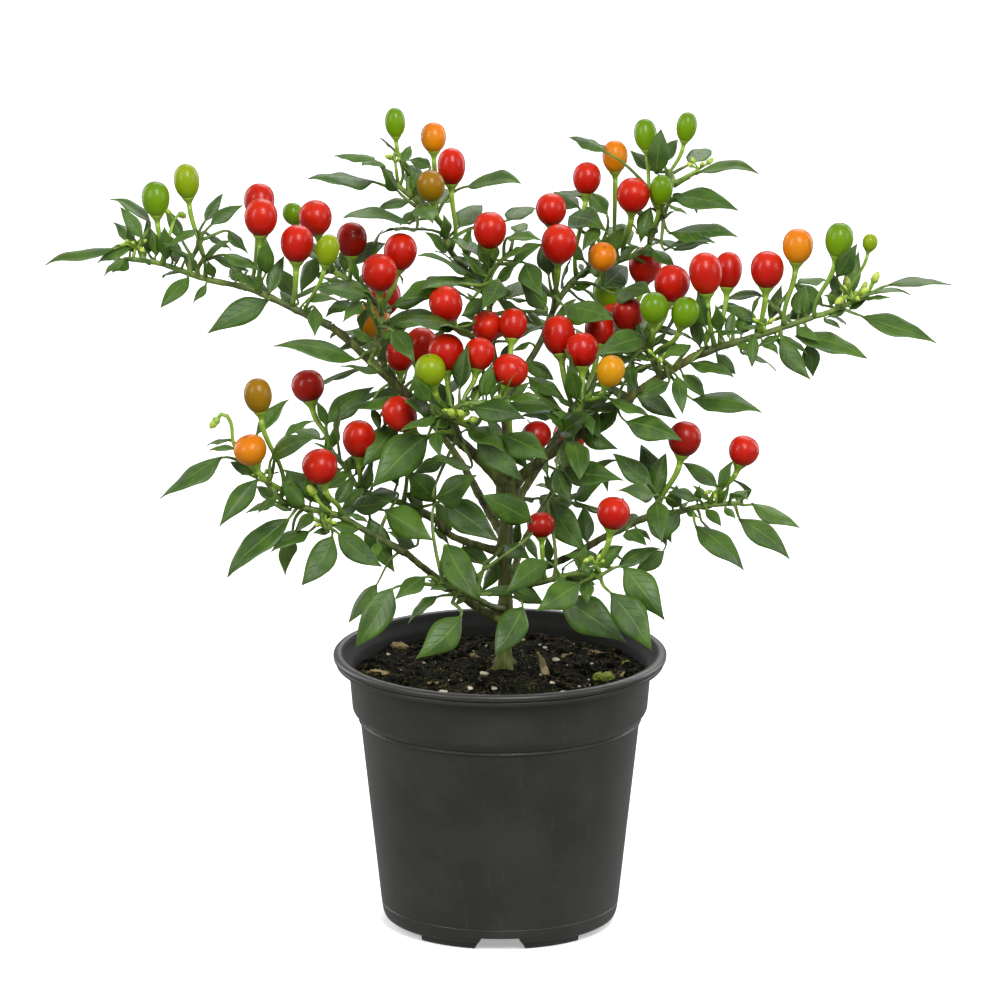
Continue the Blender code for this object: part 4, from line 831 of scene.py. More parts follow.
        (-75, 2, 216, 13, 13, -68, -4, 193, "maroon", 1), (-55, -18, 200, 13, 15, -54, -13, 179, "red", 1),
        (-39, -4, 230, 11, 13, -38, -9, 173, "red", 0),
    ]),
    "low_right": Shoot([
        (44, -16, 162), (59, -18, 169), (69, -20, 171), (80, -21, 174), (95, -21, 175),
    ], [
        (59, -23, 183, 44, -13, 193, 0.5), (62, -13, 176, 55, 0, 193, 0.4),
        (60, -29, 180, 46, -42, 186, 0.6), (61, -31, 179, 63, -47, 166, 0.9),
        (76, -29, 168, 95, -44, 154, 0.4), (93, -26, 170, 113, -39, 157, 0.6),
        (98, -21, 175, 117, -29, 167, 0.4), (85, -16, 180, 71, -5, 187, 0.5),
        (90, -10, 182, 97, 5, 170, 0.3), (66, -8, 178, 74, 8, 169, 0.3), (49, -26, 165, 57, -39, 163, 0.5),
        (29, -12, 174, 41, -20, 184, 0.5), (77, -26, 178, 65, -34, 183, 0.5),
        (34, -14, 157, 33, -4, 170, 0.7), (63, -14, 185, 55, -6, 194, 0.5),
    ], [
        (72, -18, 200, 13, 14, 63, -18, 171, "dark", 1), (95, -21, 196, 12, 12, 82, -21, 175, "red", 1),
    ]),
    "front_low": Shoot([
        (3, -2, 135), (7, -9, 138), (16, -25, 144), (28, -42, 152), (39, -55, 156),
    ], [
        (19, -38, 156, 2, -52, 147, 0.85), (31, -62, 154, 14, -78, 147, 0.7),
        (23, -42, 142, 49, -55, 128, 0.75), (43, -69, 152, 59, -82, 132, 0.9),
        (48, -60, 160, 64, -70, 141, 0.8), (46, -50, 157, 63, -42, 162, 0.6),
        (41, -48, 163, 48, -38, 156, 0.3), (20, -20, 175, 34, -38, 160, 0.8),
        (38, -44, 156, 48, -34, 161, 0.5), (40, -46, 158, 25, -40, 159, 0.4),
        (4, -14, 139, 18, -26, 135, 0.6),
    ], [
        (44, -55, 180, 13, 13, 38, -54, 159, "red", 1), (16, -28, 168, 11, 10, 18, -28, 147, "dark", 1),
    ]),
    "front_left": Shoot([
        (1, -2, 127), (-3, -10, 130), (-9, -24, 137), (-16, -36, 144), (-23, -43, 149),
    ], [
        (-42, -48, 148, -56, -58, 127, 0.85), (-29, -53, 154, -41, -65, 148, 0.5),
        (-15, -53, 138, -33, -65, 124, 0.85), (-21, -38, 163, -8, -55, 145, 0.9),
        (9, -43, 139, -2, -58, 124, 0.9), (-22, -31, 178, 0, -46, 166, 0.8),
        (12, -29, 170, -7, -43, 184, 0.8), (-12, -22, 152, -23, -36, 146, 0.6),
        (2, -14, 156, 12, -28, 154, 0.6),
    ], []),
}

# Shoots at the back grow by one rule, a leaf every golden angle up the twig: knots of the twig, number of
# leaves, turn of the first leaf, and for each fruit the share of the twig it stands at and its ripeness.
BACK_SHOOTS = {
    "back_left": (((-22, 40, 185), (-32, 48, 196), (-44, 53, 209), (-52, 56, 222)), 11, 0.4,
                  ((0.45, "red"), (0.72, "orange"), (0.93, "red"))),
    "back_right": (((28, 38, 196), (38, 48, 208), (48, 55, 221), (54, 59, 236)), 11, 2.0,
                   ((0.40, "red"), (0.68, "green"), (0.90, "red"))),
    "back_low": (((14, 36, 152), (18, 46, 157), (22, 55, 161), (24, 63, 168)), 8, 1.1, ((0.70, "red"),)),
}
GOLDEN_ANGLE = 2.39996

# Smaller leaves inside the crown, by the same rule: how many, and the turn of the first
INNER_LEAVES = {
    "middle": (7, 0.5), "centre_left": (6, 1.0), "centre_right": (7, 2.2), "left_inner": (6, 0.2),
    "right_inner": (6, 1.4), "top_right": (5, 2.6), "top_left": (3, 1.9), "mid_left": (4, 0.9),
    "front_left": (3, 0.4), "low_right": (3, 2.0),
}
print(len(FRONT_SHOOTS) + len(BACK_SHOOTS), "shoots planned")

# %% [markdown]
# ## Lines through knots, and reading the frame
#
# A smooth line through a few knots gives each branch and twig its run. When the frame was built, a leaf or
# berry that would have touched a neighbour was slid a little along the line of sight. The slide isn't in
# the plan, but it can be read back: of all the slides that were open to it, the one whose corners fall on
# the frame's own corners is the one that was taken.


# %% Smooth lines
class Path:
    """A smooth line through knots, walked by its length in millimetres."""

    STEPS = 12

    def __init__(self, knots):
        knots = [Vector(knot) for knot in knots]
        run = [2 * knots[0] - knots[1], *knots, 2 * knots[-1] - knots[-2]]
        self.points = []
        for a, b, c, d in zip(run, run[1:], run[2:], run[3:]):
            for step in range(self.STEPS):
                u = step / self.STEPS
                bend = (2 * a - 5 * b + 4 * c - d) * u**2 + (3 * b - a - 3 * c + d) * u**3
                self.points.append(b + 0.5 * ((c - a) * u + bend))
        self.points.append(knots[-1])
        self.reach = [0.0]
        for p, q in zip(self.points, self.points[1:]):
            self.reach.append(self.reach[-1] + (q - p).length)
        self.length = self.reach[-1]

    def at(self, t):
        t = min(max(t, 0.0), self.length)
        i = min(max(bisect.bisect_right(self.reach, t), 1), len(self.points) - 1)
        share = (t - self.reach[i - 1]) / (self.reach[i] - self.reach[i - 1])
        return self.points[i - 1].lerp(self.points[i], share)

    def heading(self, t):
        t = min(max(t, 0.6), self.length - 0.6)
        return (self.at(t + 0.6) - self.at(t - 0.6)).normalized()

    def nearest(self, place):
        i = min(range(len(self.points)), key=lambda k: (self.points[k] - place).length)
        return self.reach[i]


def ring(centre, heading, radius, sides, start):
    """The corners of a regular section across a heading."""
    across = (start - start.dot(heading) * heading).normalized()
    up = heading.cross(across)
    angles = [2 * math.pi * k / sides for k in range(sides)]
    return [centre + radius * (math.cos(a) * across + math.sin(a) * up) for a in angles]


TWIG_RADIUS, TWIG_TIP_RADIUS = 1.5, 0.85
NODE_SPACING = 2.3
CLEAR_OF_STEM, CLEAR_OF_TIP = 2.0, 1.6
# The plain leaf's breadth as a share of its length, its most breadth, and its bow and fold as shares
LEAF_WIDTH, LEAF_MOST_WIDTH = 0.42, 14.0
LEAF_ARCH, LEAF_FOLD = 0.09, 0.22
TRUNK_X = 1.5
# What grows by rule: lengths of back and inner leaves, and a berry's stalk, width and height
BACK_LEAF, INNER_LEAF, RULED_STALK = 28.0, 22.0, 7.0
BACK_FRUIT_STALK, BACK_FRUIT_WIDTH, BACK_FRUIT_HEIGHT = 20.0, 13.0, 15.0


def spread(places, least, low, high):
    """Pushes places along a line apart until neighbours keep their distance."""
    order = sorted(range(len(places)), key=lambda k: places[k])
    least = min(least, (high - low) / max(len(places) - 1, 1))
    for _ in range(60):
        for a, b in zip(order, order[1:]):
            short = least - (places[b] - places[a])
            if short > 0:
                places[a] -= short / 2
                places[b] += short / 2
        for k in order:
            places[k] = min(max(places[k], low), high)
    return places


def spiral_leaves(path, count, first_turn, longest):
    """Leaves that turn by the golden angle from one to the next, up a twig."""
    leaves = []
    for k in range(count):
        t = path.length * (0.18 + 0.8 * (k + 0.5) / count)
        turn = first_turn + k * GOLDEN_ANGLE
        heading = path.heading(t)
        across = heading.cross(Vector((0.1, 0.0, 1.0))).normalized()
        out = math.cos(turn) * across + math.sin(turn) * across.cross(heading)
        way = (out + 0.45 * heading + Vector((0.0, 0.0, 0.15))).normalized()
        base = path.at(t) + way * RULED_STALK
        length = longest * (0.86 + 0.14 * math.sin(2.1 * k))
        tip = base + (way + Vector((0.0, 0.0, -0.4))).normalized() * length
        leaves.append((*base, *tip, 0.35))
    return leaves


def back_shoot(knots, leaf_count, first_turn, fruit_rule):
    """A shoot by rule, with upright fruits at given shares of its twig."""
    path = Path(knots)
    fruits = []
    for k, (share, ripeness) in enumerate(fruit_rule):
        foot = path.at(share * path.length)
        lean = Vector((0.25 * math.cos(3.0 * k), 0.25 * math.sin(3.0 * k), 1.0)).normalized()
        middle = foot + lean * BACK_FRUIT_STALK
        fruits.append((*middle, BACK_FRUIT_WIDTH, BACK_FRUIT_HEIGHT, *foot, ripeness, 0))
    return Shoot(knots, spiral_leaves(path, leaf_count, first_turn, BACK_LEAF), fruits)


def outward(leaf):
    """Level and away from the trunk."""
    return Vector((leaf[3] - TRUNK_X, leaf[4], 0.0)).normalized()


SHOOTS = FRONT_SHOOTS | {name: back_shoot(*rule) for name, rule in BACK_SHOOTS.items()}
print(len(SHOOTS), "shoots with", sum(len(shoot.fruits) for shoot in SHOOTS.values()), "berries")


# %% Reading places from the frame
def line_of_sight(distance):
    """A step away from the front, down the camera's own line."""
    return Vector((0.0, distance, -math.tan(VIEW_FALL) * distance))


def corner_tree(node):
    """A search tree of a CAD node's corners, in millimetres."""
    return search_tree([corner.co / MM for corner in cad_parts[node].data.vertices])


def best_fit(choices, corners_of, tree):
    """The choice whose corners lie nearest to the node's own, and how far off the worst of them is."""
    best, least = None, math.inf
    for choice in choices:
        off = max(tree.find(place)[2] for place in corners_of(choice))
        if off < least:
            best, least = choice, off
        if least < CERTAIN_FIT:
            break
    return best, least


# A leaf's slides: of its base, of its tip, and a turn. A berry's: of its middle. In the order of trial.
LEAF_SLIDES = [(0, 0, 0)]
for tip_slide in (3, -3, 6, -6, 10, -10, 14, -14):
    LEAF_SLIDES += [(base_slide, tip_slide, turn) for base_slide in (0, 3, -3) for turn in (0, 0.2, -0.2)]
LEAF_SLIDES += [(slide, slide, turn) for slide in (6, -6, 10, -10, 14, -14) for turn in (0, 0.25, -0.25)]
FRUIT_SLIDES = (0, 2, -2, 4, -4, 6, -6, 9, -9, 12, -12, 15, -15)
# Corners this near, in millimetres, end the search, and a leaf further off than the limit isn't there
CERTAIN_FIT, LEAF_FIT_LIMIT = 0.02, 0.3
# A berry of its own stands this far off its twig, and one grown together with it starts this far inside
FRUIT_GAP, FRUIT_ROOT = 0.35, 0.3
TWIG_SIDES, FRUIT_SIDES = 5, 6

Blade = namedtuple("Blade", "base tip up t")
Berry = namedtuple("Berry", "foot out crown centre width height ripeness alone number")


def leaf_choice(leaf, front, slide):
    """The blade's base, tip and up direction after a slide."""
    base_slide, tip_slide, more_turn = slide
    base = Vector(leaf[:3]) + line_of_sight(base_slide)
    tip = Vector(leaf[3:6]) + line_of_sight(tip_slide)
    along = (tip - base).normalized()
    turn = min(max(leaf[6] + more_turn, 0.0), 1.0)
    towards = Vector((0.0, 0.0, 1.0)) * (1.0 - turn) + front * turn
    return base, tip, (towards - towards.dot(along) * along).normalized()


def leaf_corners(base, tip, up):
    """Where the plain leaf has its corners, a third and two thirds along."""
    chord = tip - base
    length = chord.length
    side = up.cross(chord / length)
    width = min(LEAF_WIDTH * length, LEAF_MOST_WIDTH)
    found = []
    for share, breadth in ((0.3, 1.0), (0.66, 0.72)):
        middle = base + chord * share + up * (4 * LEAF_ARCH * length * share * (1 - share))
        edge = up * (LEAF_FOLD * width * breadth)
        half = side * (0.5 * width * breadth)
        found += [middle + half + edge, middle - half + edge]
    return found


def upright(root, middle):
    """The direction in which a berry stands on its stalk."""
    return ((middle - root).normalized() + Vector((0.0, 0.0, 0.8))).normalized()


class Twig:
    """A shoot's twig with the leaves and berries that the frame holds on it."""

    def __init__(self, name, shoot):
        self.name, self.path = name, Path(shoot.path)
        tree = corner_tree("shoot_" + name)
        starts = [0.1 * k for k in range(121)]
        begin, off = best_fit(starts, self.section, tree)
        leaves = list(shoot.leaves)
        if name in INNER_LEAVES:
            leaves += spiral_leaves(self.path, *INNER_LEAVES[name], INNER_LEAF)
        feet = [Vector(leaf[:3]) for leaf in leaves] + [Vector(fruit[5:8]) for fruit in shoot.fruits]
        places = [self.path.nearest(foot) for foot in feet]
        places = spread(places, NODE_SPACING, begin + CLEAR_OF_STEM, self.path.length - CLEAR_OF_TIP)
        self.blades, self.berries, self.worst = [], [], off
        for number, (leaf, t) in enumerate(zip(leaves, places)):
            planned = name in FRONT_SHOOTS and number < len(shoot.leaves)
            front = Vector((0.0, -1.0, 0.0)) if planned else outward(leaf)
            choices = [leaf_choice(leaf, front, slide) for slide in LEAF_SLIDES]
            choice, off = best_fit(choices, lambda c: leaf_corners(*c), tree)
            if off < LEAF_FIT_LIMIT:
                self.blades.append(Blade(*choice, t))
                self.worst = max(self.worst, off)
        for number, (fruit, t) in enumerate(zip(shoot.fruits, places[len(leaves):]), 1):
            self.read_fruit(fruit, t, number, tree)

    def section(self, t):
        start = Vector((0.2, 1.0, 0.3))
        return ring(self.path.at(t), self.path.heading(t), self.radius(t), TWIG_SIDES, start)

    def radius(self, t):
        return TWIG_RADIUS + (TWIG_TIP_RADIUS - TWIG_RADIUS) * t / self.path.length

    def read_fruit(self, fruit, t, number, tree):
        x, y, z, width, height, *_, ripeness, alone = fruit
        if alone:
            tree = corner_tree(f"fruit_{self.name}_{number}")
        heading = self.path.heading(t)
        choices = []
        for step in FRUIT_SLIDES:
            middle = Vector((x, y, z)) + line_of_sight(step)
            way = middle - self.path.at(t)
            out = (way - way.dot(heading) * heading).normalized()
            root = self.path.at(t) + out * (self.radius(t) + (FRUIT_GAP if alone else -FRUIT_ROOT))
            choices.append((root, out, middle))

        def equator(choice):
            root, _, middle = choice
            crown = upright(root, middle)
            start = Vector((1.0, 0.3, 0.0))
            return ring(middle + crown * (0.02 * height), crown, 0.5 * width, FRUIT_SIDES, start)

        (root, out, middle), off = best_fit(choices, equator, tree)
        self.worst = max(self.worst, off)
        crown = upright(root, middle)
        self.berries.append(Berry(root, out, crown, middle, width, height, ripeness, alone, number))


TWIGS = [Twig(name, shoot) for name, shoot in SHOOTS.items()]
print(sum(len(twig.blades) for twig in TWIGS), "blades read")
print(sum(len(twig.berries) for twig in TWIGS), "berries read")
print("furthest corner from the frame's own, in mm:", round(max(twig.worst for twig in TWIGS), 3))

# %% [markdown]
# ## The nursery pot
#
# The real pot is one thin moulding: a tapering wall, a step where pots nest in each other, and a rolled rim
# with a bead above a plain band. It is turned here like pottery: the wall's section is drawn with a small
# radius at each corner, and the lathe helper sweeps it. The foot's notches and the drain holes are then cut
# with Booleans, because they break the turned shape in a few places only.

# %% The pot's section
POT_SEGMENTS = 128
# Radius, height and the size of the rounding at each corner, from the middle of the floor outwards and
# back down the inside, in millimetres
POT_SECTION = (
    (0.0, 5.2, 0.0), (39.2, 5.2, 0.6), (39.6, 0.0, 0.5), (43.3, 0.0, 0.6), (43.6, 2.1, 0.4),
    (45.3, 3.0, 0.8), (46.0, 5.2, 0.8), (46.45, 8.3, 0.15), (46.3, 8.6, 0.1), (46.55, 8.9, 0.15),
    (54.75, 81.7, 0.3), (55.5, 82.1, 0.1), (55.55, 82.6, 0.1), (55.0, 83.0, 0.12), (57.8, 86.4, 1.2),
    (59.3, 103.7, 0.8), (64.2, 104.2, 0.7), (64.6, 105.9, 0.4), (63.9, 106.25, 0.12), (65.2, 106.6, 0.3),
    (65.4, 108.3, 0.8), (64.3, 109.1, 0.6), (62.6, 109.1, 0.6), (61.3, 108.5, 0.6), (60.6, 106.2, 1.0),
    (57.9, 103.6, 1.0), (56.6, 87.4, 1.6), (53.6, 83.2, 1.6), (44.9, 9.0, 1.2), (43.2, 6.8, 0.8),
    (0.0, 6.8, 0.0),
)


def eased(section, steps=3):
    """A section with each corner rounded, in metres: corners given as radius, height and the round's size."""
    points = [Vector(corner[:2]) for corner in section]
    found = [points[0]]
    for before, here, after, corner in zip(points, points[1:], points[2:], section[1:]):
        back, on = before - here, after - here
        size = min(corner[2], 0.45 * back.length, 0.45 * on.length)
        first, last = here + back.normalized() * size, here + on.normalized() * size
        for k in range(steps + 1):
            u = k / steps
            found.append(first.lerp(here, u).lerp(here.lerp(last, u), u))
    found.append(points[-1])
    return [tuple(point * MM) for point in found]


pot = lathe("nursery_pot", eased(POT_SECTION), POT_SEGMENTS)
print("pot turned from", len(eased(POT_SECTION)), "rings")

# %% Notches, gaps and drain holes
FOOT_RING, CUT_DEPTH = 43.0, 14.0
NOTCH_HEIGHT, NOTCH_TOP_WIDTH, NOTCH_FOOT_WIDTH = 5.0, 14.6, 21.0
GAP_MIDDLE, GAP_HEIGHT = 0.55, 3.1
DRAIN_RADIUS, DRAIN_RING, DRAIN_DEPTH, FLOOR_LEVEL = 5.0, 26.0, 8.0, 5.8


def cut_away(body, cutter):
    """Subtracts a helper and removes it."""
    apply_modifier(body, "BOOLEAN", operation="DIFFERENCE", solver="EXACT", object=cutter)
    bpy.data.objects.remove(cutter)


for angle in (-math.pi / 2, math.pi / 2):
    deselect_all()
    bpy.ops.mesh.primitive_cube_add(size=MM, location=(FOOT_RING * MM, 0.0, 0.5 * (NOTCH_HEIGHT - 1.0) * MM))
    notch = bpy.context.active_object
    notch.scale = (CUT_DEPTH, NOTCH_TOP_WIDTH, NOTCH_HEIGHT + 1.0)
    settle(notch)
    edit_with(notch, "VERT", lambda corner: corner.co.z < 0.0)
    splay = NOTCH_FOOT_WIDTH / NOTCH_TOP_WIDTH
    bpy.ops.transform.resize(value=(1.0, splay, 1.0), center_override=(0.0, 0.0, 0.0))
    bpy.ops.mesh.select_all(action="SELECT")
    bpy.ops.transform.rotate(value=-angle, orient_axis="Z", center_override=(0.0, 0.0, 0.0))
    bpy.ops.object.mode_set(mode="OBJECT")
    cut_away(pot, notch)
for start in (-math.pi / 4, 3 * math.pi / 4):
    deselect_all()
    bpy.ops.mesh.primitive_plane_add(
        size=MM, rotation=(math.pi / 2, 0.0, 0.0), location=(FOOT_RING * MM, 0.0, GAP_MIDDLE * MM)
    )
    gap = bpy.context.active_object
    gap.scale = (CUT_DEPTH, GAP_HEIGHT, 1.0)
    settle(gap)
    gap.rotation_euler.z = start
    settle(gap)
    bpy.ops.object.mode_set(mode="EDIT")
    bpy.ops.mesh.select_all(action="SELECT")
    bpy.ops.mesh.spin(steps=24, angle=-math.pi / 2, center=(0.0, 0.0, 0.0), axis=(0.0, 0.0, 1.0))
    leave_edit()
    cut_away(pot, gap)
for reach, eighths in ((0.0, 0), (DRAIN_RING, 1), (DRAIN_RING, 3), (DRAIN_RING, 5), (DRAIN_RING, 7)):
    angle = 0.25 * math.pi * eighths
    x, y = reach * math.cos(angle), reach * math.sin(angle)
    deselect_all()
    bpy.ops.mesh.primitive_cylinder_add(
        vertices=32, radius=DRAIN_RADIUS * MM, depth=DRAIN_DEPTH * MM,
        location=(x * MM, y * MM, FLOOR_LEVEL * MM),
    )
    cut_away(pot, bpy.context.active_object)
smooth(pot, 38.0)
# The inner wall above this height is marked for the finish's painted shade.
INSIDE_FROM = 60.0
inside = []
for corner in pot.data.vertices:
    from_axis = Vector((corner.co.x, corner.co.y, 0.0)).normalized()
    inside.append(corner.co.z > INSIDE_FROM * MM and corner.normal.dot(from_axis) < -0.3)
mark(pot, "inside", inside)
dress(pot, pot_black, "pot_plastic", "pot")
print("pot has", len(pot.data.polygons), "faces")

# %% [markdown]
# ## The potting mix
#
# Seen close, potting mix is a rough ground of peat crumbs and fibres with scattered perlite and bark chips.
# The ground itself is a fine grid over the round of the pot, raised and sunk by noise in three sizes.
# Crumbs, fibres, grains and chips are then laid on it as small bodies of their own.

# %% Ground
SOIL_RADIUS, SOIL_LEVEL, SOIL_DEPTH = 57.2, 101.0, 12.0


def ground_height(x, y):
    """The potting mix's height in millimetres, banked up round the trunk and lower at the wall."""
    place = Vector((x, y, 0.0))
    bank = 2.3 * math.exp(-(((x - TRUNK_X) ** 2 + y * y) / 500.0))
    edge = -1.2 * max(0.0, (math.hypot(x, y) - 50.0) / 7.0) ** 2
    swell = 1.3 * noise.noise(place / 16.0)
    lumps = 1.1 * noise.fractal(place / 4.5 + Vector((7.0, 3.0, 1.0)), 1.0, 2.0, 4)
    return SOIL_LEVEL + bank + edge + swell + lumps


deselect_all()
bpy.ops.mesh.primitive_cylinder_add(
    vertices=96, radius=SOIL_RADIUS * MM, depth=SOIL_DEPTH * MM, end_fill_type="NOTHING",
    location=(0.0, 0.0, (SOIL_LEVEL - 0.5 * SOIL_DEPTH) * MM),
)
soil = settle(bpy.context.active_object)
soil.name = "potting_mix"
middle_height = (SOIL_LEVEL - 0.5 * SOIL_DEPTH) * MM
heights = corners(soil)[:, 2]
edit_with(soil, "EDGE", lambda edge: all(heights[k] < middle_height for k in edge.vertices))
bpy.ops.mesh.edge_face_add()
edit_with(soil, "EDGE", lambda edge: all(heights[k] > middle_height for k in edge.vertices))
bpy.ops.mesh.fill_grid(span=24)
bpy.ops.mesh.subdivide(number_cuts=3)
leave_edit()
rows = corners(soil) / MM
top = rows[:, 2] > SOIL_LEVEL - 0.01
rows[top, 2] = [ground_height(x, y) for x, y, _ in rows[top]]
set_corners(soil, rows * MM)
smooth(soil)
dress(soil, peat, "potting_mix", "soil")
print("ground has", len(soil.data.polygons), "faces")

# %% [markdown]
# Crumbs, grains and chips each start as one rough body. Copies are turned, squeezed and laid on the ground
# by a seeded draw, so every run lays them alike. Those that lie in plain view have places of their own.

# %% Crumbs and grains
draw = random.Random(11)
WEATHER_SEED = 5
TRUNK_CLEARANCE = 6.5


def rough_lump(name, detail, roughness, seed):
    """An uneven pebble, one millimetre across."""
    deselect_all()
    bpy.ops.mesh.primitive_ico_sphere_add(subdivisions=detail, radius=0.5 * MM)
    lump = bpy.context.active_object
    lump.name = name
    rows = corners(lump)
    aside = Vector((seed, 0.0, 0.0))
    swell = [1.0 + roughness * noise.noise(Vector(row) / MM * 1.7 + aside) for row in rows]
    set_corners(lump, rows * np.array(swell)[:, None])
    return lump


def lay(model, name, x, y, size, turn, sunk):
    """A copy of a model on the ground, its size given along three axes and a share of it sunk in."""
    twin = copy_of(model, name)
    height = ground_height(x, y) + size[2] * (0.5 - sunk)
    place = Matrix.Translation(Vector((x, y, height)) * MM)
    spin = Matrix.Rotation(turn[0], 4, "Z") @ Matrix.Rotation(turn[1], 4, "X")
    twin.data.transform(place @ spin @ Matrix.Diagonal((*size, 1.0)))
    return twin


def random_place(reach):
    """A place on the ground within reach of the middle and clear of the trunk."""
    while True:
        radius, angle = reach * math.sqrt(draw.random()), draw.uniform(0, 2 * math.pi)
        x, y = radius * math.cos(angle), radius * math.sin(angle)
        if math.hypot(x - TRUNK_X, y) > TRUNK_CLEARANCE:
            return x, y


def random_spots(count, sizes, reach):
    """Places, sizes and turns by the seeded draw."""
    for _ in range(count):
        x, y = random_place(reach)
        size = draw.uniform(*sizes)
        size *= np.array([draw.uniform(low, high) for low, high in ((0.7, 1.4), (0.7, 1.2), (0.5, 0.9))])
        yield x, y, size, (draw.uniform(0, 6.3), draw.uniform(-0.5, 0.5))


def weathered(piece, depth, size):
    """Every corner pushed about by noise, so that no two copies stay alike."""
    noise.seed_set(WEATHER_SEED)
    rows = corners(piece) / MM
    shove = []
    for row in rows:
        place = Vector(row) / size
        shove.append(noise.noise_vector(place) * depth + noise.noise_vector(place * 3.1) * depth * 0.5)
    set_corners(piece, (rows + np.array(shove)) * MM)


def strew(name, model, spots, sunk, degrees, finish, wear=None):
    """Copies of a model laid on the ground, weathered if asked, and made one piece."""
    piece = joined([lay(model, name, *spot, sunk) for spot in spots], name)
    if wear:
        weathered(piece, *wear)
    smooth(piece, degrees)
    dress(piece, finish, "potting_mix")


crumb, clod = rough_lump("crumb", 1, 0.9, 1.0), rough_lump("clod", 2, 1.0, 5.0)
speck, grain = rough_lump("speck", 1, 0.7, 9.0), rough_lump("grain", 2, 0.8, 13.0)
strew("crumbs_fine", crumb, random_spots(640, (0.8, 2.4), 56.0), 0.35, 50.0, peat)
strew("crumbs_coarse", clod, random_spots(90, (2.0, 4.2), 54.5), 0.35, 50.0, peat)
strew("perlite_specks", speck, random_spots(34, (0.4, 1.0), 55.0), 0.2, 50.0, perlite_white)
print("crumbs and specks laid")

# %% Perlite, chips and bits in plain view
# Each grain: place, length and width. Each chip and green bit also has its turn.
PERLITE = (
    (-5.1, 33.9, 2.1, 1.8), (-6.3, -10.8, 4.2, 2.2), (-2.3, -30.7, 2.6, 2.2), (-11.7, -29.7, 2.6, 2.2),
    (-22.3, -31.2, 4.6, 2.4), (17.6, 30.9, 2.2, 1.6), (21.9, 14.5, 3.6, 2.4), (20.3, -23.8, 2.2, 1.6),
    (25.4, -31.7, 5.4, 2.0), (14.1, -38.7, 3.0, 2.4), (31.0, -20.0, 1.6, 1.4), (-30.0, 12.0, 1.8, 1.5),
    (36.0, 8.0, 1.6, 1.2), (-15.0, -42.0, 1.8, 1.5), (44.0, -24.0, 1.8, 1.2), (-38.0, -18.0, 1.6, 1.3),
    (9.0, 44.0, 2.4, 1.8), (-24.0, 36.0, 2.0, 1.8), (30.0, 36.0, 2.6, 2.0), (-44.0, 22.0, 1.8, 1.6),
)
CHIPS = (
    (-48.1, -3.5, 9.6, 2.8, -0.25), (-39.5, 36.0, 7.5, 2.6, -0.5), (26.0, 22.0, 6.0, 2.0, 0.9),
    (-26.0, -20.0, 5.0, 1.6, 0.4), (8.0, -46.0, 5.5, 1.6, 0.1), (48.0, -8.0, 5.0, 1.8, 1.2),
    (-10.0, 18.0, 6.0, 1.8, 2.2), (38.0, 30.0, 7.0, 2.2, 2.6), (-20.0, 46.0, 6.5, 2.0, 0.2),
)
MOSS = (
    (40.7, -14.3, 8.5, 4.6, 0.15), (50.0, 10.0, 4.0, 3.0, 0.6), (-40.0, -33.5, 5.0, 3.4, 0.8),
    (30.0, -37.0, 3.0, 2.0, 0.0),
)


def splinter():
    """A chip of bark, one millimetre each way: a cube drawn out at both ends and bevelled."""
    deselect_all()
    bpy.ops.mesh.primitive_cube_add(size=0.6 * MM)
    chip = bpy.context.active_object
    for way in (-1.0, 1.0):
        edit_with(chip, "FACE", lambda face: face.normal.x * way > 0.9)
        bpy.ops.mesh.extrude_region_move(TRANSFORM_OT_translate={"value": (way * 0.2 * MM, 0.0, 0.02 * MM)})
        bpy.ops.transform.resize(value=(1.0, 0.45, 0.6), center_override=(0.0, 0.05 * MM, 0.0))
        bpy.ops.object.mode_set(mode="OBJECT")
    apply_modifier(chip, "BEVEL", width=0.05 * MM, segments=1, limit_method="NONE")
    apply_modifier(chip, "SUBSURF", levels=2, subdivision_type="SIMPLE")
    return chip


def splinter_spots(rows, most_tilt):
    """Places, sizes and turns of splinters, tilted by the seeded draw if they may be."""
    for x, y, length, width, turn in rows:
        tilt = draw.uniform(-most_tilt, most_tilt) if most_tilt else 0.2
        yield x, y, (length, width * 1.3, width * 0.8), (turn, tilt)


chip = splinter()
grain_spots = [
    (x, y, (0.85 * length, 0.8 * width, 0.6 * width), (draw.uniform(-0.5, 0.5), 0.2))
    for x, y, length, width in PERLITE
]
strew("perlite_grains", grain, grain_spots, 0.15, 60.0, perlite_white)
strew("bark_chips", chip, splinter_spots(CHIPS, 0.5), 0.3, 35.0, chip_tan, (0.8, 1.6))
strew("green_bits", chip, splinter_spots(MOSS, 0.0), 0.2, 40.0, moss_green, (0.9, 1.4))
for model in (crumb, clod, speck, grain, chip):
    bpy.data.objects.remove(model)
print(len(PERLITE), "grains,", len(CHIPS), "chips and", len(MOSS), "green bits laid by hand")

# %% [markdown]
# ## Round runs: fibres, stem, twigs and stalks
#
# Everything long and round on the plant is a curve with a bevel. A curve lets each knot have its own
# radius, so a twig can taper and swell at its joints, and it turns into a closed mesh in one step.


# %% Tubes
def tubes(name, runs, sides=8):
    """Closed tubes along rows of (place, radius) in millimetres, made one mesh."""
    curve = bpy.data.curves.new(name, "CURVE")
    curve.dimensions = "3D"
    curve.bevel_depth = MM
    curve.bevel_resolution = (sides - 4) // 2
    curve.use_fill_caps = True
    for run in runs:
        spline = curve.splines.new("POLY")
        spline.points.add(len(run) - 1)
        for point, (place, radius) in zip(spline.points, run):
            point.co = (*(Vector(place) * MM), 1.0)
            point.radius = radius
    piece = bpy.data.objects.new(name, curve)
    bpy.context.scene.collection.objects.link(piece)
    select_only(piece)
    bpy.ops.object.convert(target="MESH")
    bpy.ops.object.mode_set(mode="EDIT")
    leave_edit(merge=1e-6)
    return piece


